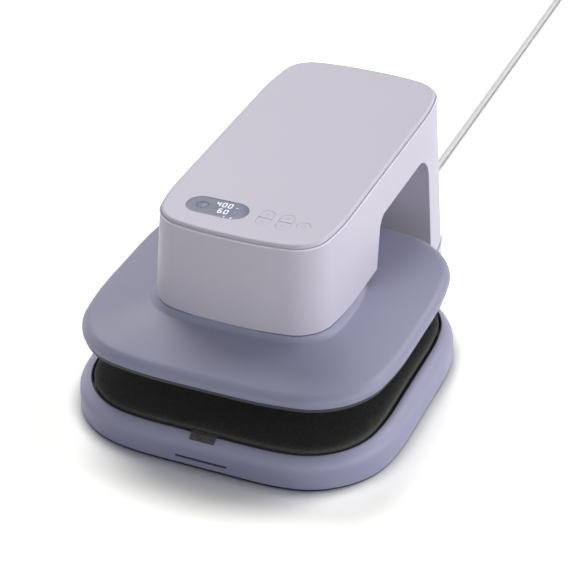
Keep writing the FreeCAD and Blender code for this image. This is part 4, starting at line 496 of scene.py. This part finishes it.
def swollen(mesh, d):
    # the cover as even small quads, blown up by pressure without gravity; then each point's way is eased so
    # that it never passes growth: way times (1 - exp(-length / growth)) / length
    holder = bpy.data.objects.new("swelling", mesh)
    bpy.context.scene.collection.objects.link(holder)
    remesh = holder.modifiers.new("even", "REMESH")
    remesh.mode = "VOXEL"
    remesh.voxel_size = d["voxel"] * mm
    holder.data = baked(holder)
    holder.modifiers.clear()
    before = pointsOf(holder.data)
    cover = holder.modifiers.new("cover", "CLOTH")
    cover.settings.use_pressure = True
    cover.settings.uniform_pressure_force = d["pressure"]
    cover.settings.effector_weights.gravity = 0
    cover.settings.quality = d["quality"]
    cover.settings.tension_stiffness = cover.settings.compression_stiffness = d["stretch"]
    cover.settings.bending_stiffness = d["bending"]
    cover.point_cache.frame_start, cover.point_cache.frame_end = 1, d["frames"]
    for count in range(1, d["frames"] + 1):
        bpy.context.scene.frame_set(count)
    blown = baked(holder)
    way = pointsOf(blown) - before
    length = np.linalg.norm(way, axis=1, keepdims=True) + 1e-9
    growth = d["growth"] * mm
    after = before + way / length * growth * (1 - np.exp(-length / growth))
    holder.modifiers.clear()
    bpy.context.scene.frame_set(1)
    blown.vertices.foreach_set("co", after.astype(np.float32).ravel())
    bpy.data.objects.remove(holder)
    return blown


coverMesh = joined("pad_cover", [padGrid(pad)])
coverMesh = swollen(coverMesh, pad)
pressPad = laid("press_pad", coverMesh, "base", "pad_fabric", "press_mat")
smoothed = pressPad.modifiers.new("smooth", "SUBSURF")
smoothed.levels = smoothed.render_levels = 1
pressPad.data = baked(pressPad)
pressPad.modifiers.clear()
places = pointsOf(pressPad.data)
places[:, 2] = np.clip(places[:, 2], pad["foot"] * mm, pad["roof"] * mm)
pressPad.data.vertices.foreach_set("co", places.astype(np.float32).ravel())
pressPad.data.name = "press_pad"
pressPad.data.shade_smooth()
print("pressing pad made,", len(places), "points")

# tab: a short woven strip sewn to the pad's front edge, lying over the base's shoulder
tab = {
    "halfWidth": 17.4, "bend": (-282.4, 25.5), "radius": 21.35, "thickness": 1.1, "start": 12.0, "end": 50.0,
    "corner": 1.6, "lift": 0.3, "sectionPoints": 48, "thinOver": 0.02, "thinnest": 0.25,
    "rows": np.concatenate([[0, 0.004], np.linspace(0.02, 0.8, 14), np.linspace(0.84, 0.98, 6), [0.992, 0.998, 1]]),
}


def tabGrid(d):
    # rows along the bend, each a flat oval section; the width rounds off at the free end, which lifts a little,
    # and both ends thin out as the root of the way
    share = d["rows"]
    turn = np.radians(d["start"] + (d["end"] - d["start"]) * share)
    left = d["radius"] * (turn[-1] - turn)
    short = np.maximum(d["corner"] - left, 0)
    half = d["halfWidth"] - d["corner"] + np.sqrt(np.maximum(d["corner"] ** 2 - short ** 2, 0))
    thin = np.clip(np.sqrt(np.minimum(share, 1 - share) / d["thinOver"]), d["thinnest"], 1)
    section = circle(d["sectionPoints"])
    wide = np.sign(np.cos(section)) * np.abs(np.cos(section)) ** 0.25
    deep = np.sign(np.sin(section)) * np.abs(np.sin(section)) ** 0.5
    reach = d["radius"] + d["lift"] * share[:, None] ** 4 + d["thickness"] / 2 * deep * thin[:, None]
    return np.stack([half[:, None] * wide + 0 * reach, d["bend"][0] - reach * np.sin(turn)[:, None],
                     d["bend"][1] + reach * np.cos(turn)[:, None]], axis=2)


laid("sewn_tab", joined("sewn_tab", [tabGrid(tab)]), "base", "tab_fabric", "mat_tab")
print("tab made")

# bead: a thin rounded lip along the upper edge of the arm's housing, just outside the cover's seam; its colour,
# lighter than the housing's, is a painted highlight for the light its edge catches
bead = {
    "outline": {"half": (120.0, 244.65), "mid": 46.5, "end": 372.5, "centre": (0.0, 41.75)},
    "profile": [(0.4, 284.6), (0.1, 284.1), (-0.4, 284.4), (-0.65, 284.9), (-0.7, 285.5), (-0.6, 286.1),
                (-0.35, 286.6), (0.0, 286.9), (0.4, 286.9), (0.62, 286.7), (0.62, 286.2)],
}
beadRows = carried(bead["outline"], bead["profile"])
laid("seam_bead", joined("seam_bead", [beadRows], wraps=True), "arm", "bead_painted_highlight")
print("seam bead made")

# base trim: a dark strip on the recess's rim, where the cushion's side meets it, which is painted shade for the shade
# under the cushion's edge; and a dark insert in the finger groove, which is painted shade for the shade inside the
# groove
trim = {
    "outline": {"half": (203.2, 210.4), "mid": 100.6, "end": 290.6, "centre": (0.0, -79.3)},
    "shadeStrip": [(0.1, 45.0), (-1.4, 45.8), (-1.4, 46.1), (-1.1, 46.25), (-0.2, 46.25), (0.1, 46.1)],
    "grooveHalf": 36.4, "grooveRadius": 1.7, "grooveLevel": 12.0, "groovePoints": 32,
    "grooveShadeProfile": [(0.0, -300.6), (0.0, -302.2), (0.1, -302.4), (0.3, -302.5), (0.6, -302.45), (1.1, -302.2)],
}
shadeStripRows = carried(trim["outline"], trim["shadeStrip"])
laid("recess_shade_strip", joined("recess_shade_strip", [shadeStripRows], wraps=True), "base", "recess_shade_dark")


def grooveShadeGrid(d):
    # a capsule outline that shrinks along the dark insert's profile towards the front; the insert is painted shade
    # inside the groove
    turn = circle(d["groovePoints"], math.pi / d["groovePoints"])
    middle = np.sign(np.cos(turn)) * (d["grooveHalf"] - d["grooveRadius"])
    return np.array([np.stack([middle + (d["grooveRadius"] - inset) * np.cos(turn), np.full(len(turn), front),
                               d["grooveLevel"] + (d["grooveRadius"] - inset) * np.sin(turn)], axis=1)
                     for inset, front in d["grooveShadeProfile"]])


laid("groove_shade_insert", joined("groove_shade_insert", [grooveShadeGrid(trim)]), "base", "groove_shade_dark")
print("base trim made")

# display: a smoked capsule window with the start button's hole, lit digits and small lamps on it
display = {
    "ends": ((-63.6, -146.4), (-19.6, -146.4)), "radius": 20.0, "hole": (-62.0, -146.4), "holeRadius": 7.9,
    "low": 288.9, "top": 291.25, "round": 0.5, "rays": 240, "halvings": 30, "flatRings": 7,
    "lip": [(0.0, 0.25), (0.08, 0.08), (0.25, 0.0), (0.5, 0.0)], "printed": (291.15, 291.33),
    "digitWidth": 5.5, "digitHeight": 10.6, "stroke": 1.2, "gap": 0.18, "columns": (-43.5, -35.5, -27.5),
    "rows": {"400": -137.0, "60": -151.9},
    "lamps": [(-25.4, -163.1, 0.85), (-16.1, -163.1, 1.15)], "faintLamp": (-16.1, -149.6, 1.2),
    "tick": [(-20.3, -137.4), (-18.6, -138.6), (-17.0, -139.2), (-15.2, -138.0)], "tickWidth": 0.75,
}
segments = {  # which of top, upper right, lower right, bottom, lower left, upper left, middle are lit
    "0": (1, 1, 1, 1, 1, 1, 0), "4": (0, 1, 1, 0, 0, 1, 1), "6": (1, 0, 1, 1, 1, 1, 1),
}


def windowGrid(d):
    # rings between the hole and the capsule, which is the line between its two ends grown by the radius: on each
    # ray from the hole's middle the capsule's edge is where the distance from that line is the radius. The hole's
    # lip is given as ways out from the hole and down from the top
    turn = circle(d["rays"])
    ray = np.stack([np.cos(turn), np.sin(turn)], axis=1)
    first, last = np.array(d["ends"])
    hole = d["hole"] + ray * d["holeRadius"]
    near, far = np.zeros((len(turn), 1)), np.full((len(turn), 1), 2 * d["radius"] + last[0] - first[0])
    for halving in range(d["halvings"]):
        between = (near + far) / 2
        outline = d["hole"] + ray * between
        out = (outline - np.clip(outline, first, last)) / d["radius"]
        inside = np.linalg.norm(out, axis=1, keepdims=True) < 1
        near, far = np.where(inside, between, near), np.where(inside, far, between)
    inward = out * d["round"]
    edge = [level(outline - inward * (1 - math.cos(a)), d["top"] - d["round"] * (1 - math.sin(a)))
            for a in np.radians([90, 60, 30, 0])]
    flat = [level(hole * (1 - s) + (outline - inward) * s, d["top"])
            for s in np.linspace(0, 1, d["flatRings"])[1:-1]]
    lip = [level(hole + ray * away, d["top"] - down) for away, down in d["lip"]]
    return np.array([level(hole, d["low"])] + lip + flat + edge + [level(outline, d["low"])])


def digitBars(d):
    # each lit segment is a six-cornered bar: along its length the corners stand half its width from the tips
    half, side = d["digitWidth"] / 2 - d["stroke"] / 2, d["digitHeight"] / 2 - d["stroke"] / 2
    where = np.array([(0, side, 0), (half, side / 2, 1), (half, -side / 2, 1), (0, -side, 0), (-half, -side / 2, 1),
                      (-half, side / 2, 1), (0, 0, 0)])
    length = np.where(where[:, 2] == 1, side, 2 * half) - d["gap"]
    tips, waist = np.array([-1, -1, 1, 1, 1, -1]) * 0.5, np.array([0, 1, -1, 0, -1, 1]) * 0.5
    along = tips * length[:, None] + waist * d["stroke"]
    across = np.broadcast_to(np.array([0, -1, -1, 0, 1, 1]) * d["stroke"] / 2, along.shape)
    upright = where[:, 2:] == 1
    bars = np.stack([np.where(upright, -across, along), np.where(upright, along, across)], axis=2)
    bars += where[:, None, :2]
    return np.concatenate([bars[np.array(segments[digit], bool)] + (column, height)
                           for text, height in d["rows"].items()
                           for digit, column in zip(text, d["columns"][-len(text):])])


def discs(places, sides=24):
    turn = circle(sides)
    ring = np.stack([np.cos(turn), np.sin(turn)], axis=1)
    return np.array([ring * r + (x, y) for x, y, r in places])


# start button: a round cap with a rounded edge and a dish that deepens as the square of the way to its middle
cap = {
    "middle": (-62.0, -146.4), "radius": 7.5, "foot": 283.0, "footRadius": 1.0, "rim": 291.2, "round": 0.7,
    "roundRows": 6, "land": 0.3, "dish": 1.7, "dishEnd": 0.05, "dishRows": 16, "points": 48,
}


def capGrid(d):
    bend = np.radians(np.linspace(0, 90, d["roundRows"]))
    edge = np.stack([d["radius"] - d["round"] * (1 - np.cos(bend)),
                     d["rim"] - d["round"] * (1 - np.sin(bend))], axis=1)
    way = np.linspace(1, d["dishEnd"], d["dishRows"])
    inner = d["radius"] - d["round"] - d["land"]
    bowl = np.stack([inner * way, d["rim"] - d["dish"] * (1 - way ** 2)], axis=1)
    profile = np.concatenate([[(d["footRadius"], d["foot"]), (d["radius"], d["foot"])], edge, bowl])
    turn = circle(d["points"])
    x = d["middle"][0] + profile[:, :1] * np.cos(turn)
    y = d["middle"][1] + profile[:, :1] * np.sin(turn)
    return np.stack([x, y, np.broadcast_to(profile[:, 1:], x.shape)], axis=2)


laid("start_cap", joined("start_cap", [capGrid(cap)]), "start_key", "start_key", "start_button")
laid("window_lens", joined("window_lens", [windowGrid(display)], wraps=True), "arm", "window", "display_window")
printed = {
    "display_digits": (digitBars(display), "digits"),
    "display_lamps": (discs(display["lamps"]), "digits"),
    "faint_lamp": (discs([display["faintLamp"]]), "faint_print"),
}
for name, (outlines, finish) in printed.items():
    laid(name, plates(name, outlines, *display["printed"]), "arm", finish)
tick = bar(display["tick"], display["tickWidth"], *display["printed"])
laid("display_tick", joined("display_tick", [tick]), "arm", "digits")
print("display made")

# marks printed on the keys: an arrow head for more and for less, a ring with a bar for power
marks = {
    "levels": (291.1, 291.34), "stroke": 0.6, "headHalf": 2.6, "headRise": 1.3, "headPoints": 17,
    "keys": {"temp_up_key": (24.0, -137.2, 1), "temp_down_key": (24.0, -155.4, -1),
             "time_up_key": (51.0, -137.2, 1), "time_down_key": (51.0, -155.4, -1)},
    "power": (76.0, -146.4), "powerRadius": 3.1, "powerSweep": (125, 415, 33), "powerBar": (0.6, 3.9, 7),
}
for key, (x, y, way) in marks["keys"].items():
    share = np.linspace(-1, 1, marks["headPoints"])
    head = np.stack([x + share * marks["headHalf"], y + way * marks["headRise"] * (0.5 - np.abs(share))], axis=1)
    laid(key.replace("_key", "_mark"), joined(key, [bar(head, marks["stroke"], *marks["levels"])]), key, "marks")
sweep, rise = np.radians(np.linspace(*marks["powerSweep"])), np.linspace(*marks["powerBar"])
powerRing = np.stack([np.cos(sweep), np.sin(sweep)], axis=1) * marks["powerRadius"] + marks["power"]
powerBar = np.stack([0 * rise, rise], axis=1) + marks["power"]
powerMark = [bar(path, marks["stroke"], *marks["levels"]) for path in (powerRing, powerBar)]
laid("power_mark", joined("power_mark", powerMark), "power_key", "marks")
print("key marks made")

# strain relief: a tapered sleeve round the cord with a round collar and nine soft ribs; places along the cord
# and radii
relief = {
    "axis": (24.0, 16.0), "collar": [(296.9, 7.4), (302.4, 7.4), (303.1, 7.1), (303.4, 6.6)],
    "sleeve": ((303.4, 6.6), (334.4, 5.1)), "ribs": 9, "ribDepth": 0.55, "ribRows": 15, "fadeIn": 12,
    "end": [(334.8, 4.7), (334.9, 4.2), (334.9, 4.05), (296.9, 4.05)], "points": 40,
}


def reliefGrid(d):
    # a profile turned about the cord: the radius falls evenly and waves once for each rib, from nothing at first
    way = np.linspace(0, 1, d["ribRows"] * d["ribs"])
    wave = (0.5 - 0.5 * np.cos(2 * math.pi * d["ribs"] * way)) * np.clip(way * d["fadeIn"], 0, 1)
    first, last = np.array(d["sleeve"])
    sleeve = first + (last - first) * way[:, None] - d["ribDepth"] * wave[:, None] * (0, 1)
    profile = np.concatenate([d["collar"], sleeve, d["end"]])
    turn = circle(d["points"], turn=-2 * math.pi)
    x = d["axis"][0] + profile[:, 1:] * np.cos(turn)
    z = d["axis"][1] + profile[:, 1:] * np.sin(turn)
    return np.stack([x, np.broadcast_to(profile[:, :1], x.shape), z], axis=2)


laid("relief_sleeve", joined("relief_sleeve", [reliefGrid(relief)], wraps=True), "base", "cord_plastic",
     "strain_relief")
print("strain relief made")

# cord, in metres: straight out of the strain relief, down to the surface, straight back, then the put-away coil
cord = {
    "diameter": 0.008,
    "exit": (0.024, 0.3349, 0.016),
    "route": [(0.024, 0.3349, 0.016), (0.024, 0.3679, 0.016), (0.024, 0.4359, 0.0043), (0.024, 0.505, 0.0043),
              (0.024, 1.246, 0.0043)],
    "level": 0.0043,
    "coilCentre": (-0.025, 1.268),
    "coilRadius": 0.049,
    "pitch": 0.0089,
    "turns": 3.15,
    "pointsPerTurn": 14,
    "stub": 0.024,
}


def coilRun(way):
    # spirals in on the surface, climbs a layer as half a cosine wave over half a turn where the spiral reverses,
    # and spirals out on top; the angle grows evenly with way, 0 to 1
    turns = cord["turns"]
    angle = way * 2 * math.pi * turns
    climb = math.pi * (turns - 0.5)
    step = cord["pitch"] / (2 * math.pi)
    share = np.clip((angle - climb) / math.pi, 0, 1)
    deepest = cord["coilRadius"] - step * climb
    radius = np.where(angle <= climb, cord["coilRadius"] - step * angle,
                      np.where(share < 1, deepest - step * math.pi * share * (1 - share),
                               deepest + step * (angle - climb - math.pi)))
    rise = (1 - np.cos(math.pi * share)) / 2 * cord["pitch"]
    return np.stack([cord["coilCentre"][0] + radius * np.cos(angle),
                     cord["coilCentre"][1] + radius * np.sin(angle), cord["level"] + rise], axis=1)


coilPoints = coilRun(np.linspace(0, 1, int(cord["pointsPerTurn"] * cord["turns"]) + 1))
lastWay = coilPoints[-1] - coilPoints[-2]
endWay = np.array([lastWay[0], lastWay[1], 0.0]) / math.hypot(lastWay[0], lastWay[1])
stub = coilPoints[-1] + endWay * cord["stub"] * np.array([[0.5], [1.0]])
route = np.vstack([cord["route"], coilPoints, stub])
line = bpy.data.curves.new("mains_cord", "CURVE")
line.dimensions = "3D"
line.bevel_depth = cord["diameter"] / 2
line.bevel_resolution = 6
line.use_fill_caps = True
run = line.splines.new("NURBS")
run.points.add(len(route) - 1)
run.points.foreach_set("co", np.hstack([route, np.ones((len(route), 1))]).ravel())
run.order_u = 3
run.use_endpoint_u = True
run.resolution_u = 8
mainsCord = laid("mains_cord", line, "base", "cord_plastic", "power_cord", "cord_coil")
print("cord laid")

# stage: a floor that throws back light as pale paper does, but whose colour for the camera is above one, darkened by
# a painted contact shadow where something stands close, and lit as if it were tilted towards the rear lamps; a world
# that is dim as a light and white to the eye; five soft suns
stage = {
    "reach": 24.0, "tone": 0.8, "mirroredTone": 1.66, "seenTone": (2.05, 2.05, 1.97),
    "contactShadowReach": 0.022, "contactShadowPower": 1.3, "contactShadowSamples": 6, "tilt": (-0.15, 0.75, 0.65),
    "worldLight": 0.07, "worldSeen": 1.0,
    "suns": {  # the way to the lamp, its share of full white on a surface that faces it, its spread in degrees
        "back right": ((0.44, 0.63, 0.64), 0.36, 34),
        "back left": ((-0.43, 0.51, 0.743), 0.42, 34),
        "right": ((0.98, 0.12, 0.14), 0.64, 60),
        "left": ((-0.98, 0.09, 0.17), 0.27, 60),
        "front fill": ((0.60, -0.80, 0.05), 0.42, 60),
    },
}
floor = bpy.data.objects.new("floor", bpy.data.meshes.new("floor"))
floorCorners = [(x * stage["reach"], y * stage["reach"], 0) for x, y in ((-1, -1), (1, -1), (1, 1), (-1, 1))]
floor.data.from_pydata(floorCorners, [], [(0, 1, 2, 3)])
bpy.context.scene.collection.objects.link(floor)
paper = Finish("paper", (0.9, 0.9, 0.9), 1.0, Specular_IOR_Level=0.0)
ray = paper.node("ShaderNodeLightPath")
mirrored = (ray("Is Glossy Ray") + ray("Is Transmission Ray")).clamp()
# painted contact shadow: the floor's colour for the camera falls with the occlusion of things standing within the
# reach
near = paper.node("ShaderNodeAmbientOcclusion", {"samples": stage["contactShadowSamples"]}, {"Distance": stage["contactShadowReach"]})
seenTone = paper.blend(near("AO") ** stage["contactShadowPower"], (0.0, 0.0, 0.0, 1.0), (*stage["seenTone"], 1.0))
unseenTone = paper.blend(mirrored, (*[stage["tone"]] * 3, 1.0), (*[stage["mirroredTone"]] * 3, 1.0))
paper.feed("Base Color", paper.blend(ray("Is Camera Ray"), unseenTone, seenTone))
paper.feed("Normal", paper.node("ShaderNodeVectorMath", {"operation": "NORMALIZE"}, {0: stage["tilt"]})("Vector"))
floor.data.materials.append(paper.material)

world = bpy.data.worlds.new("studio")
bpy.context.scene.world = world
sky = Shading(world, "Background")
ray = sky.node("ShaderNodeLightPath")
seen = (ray("Is Camera Ray") + ray("Is Glossy Ray") + ray("Is Transmission Ray")).clamp()
sky.feed("Color", (1, 1, 1, 1))
sky.feed("Strength", stage["worldLight"] + seen * (stage["worldSeen"] - stage["worldLight"]))

for name, (way, share, spread) in stage["suns"].items():
    lamp = bpy.data.lights.new(name, "SUN")
    lamp.energy = share * math.pi
    lamp.angle = math.radians(spread)
    lampObject = bpy.data.objects.new(name, lamp)
    lampObject.rotation_euler = Vector(way).to_track_quat("Z", "Y").to_euler()
    bpy.context.scene.collection.objects.link(lampObject)

bpy.context.scene.view_settings.view_transform = "Standard"
print("floor and light set")
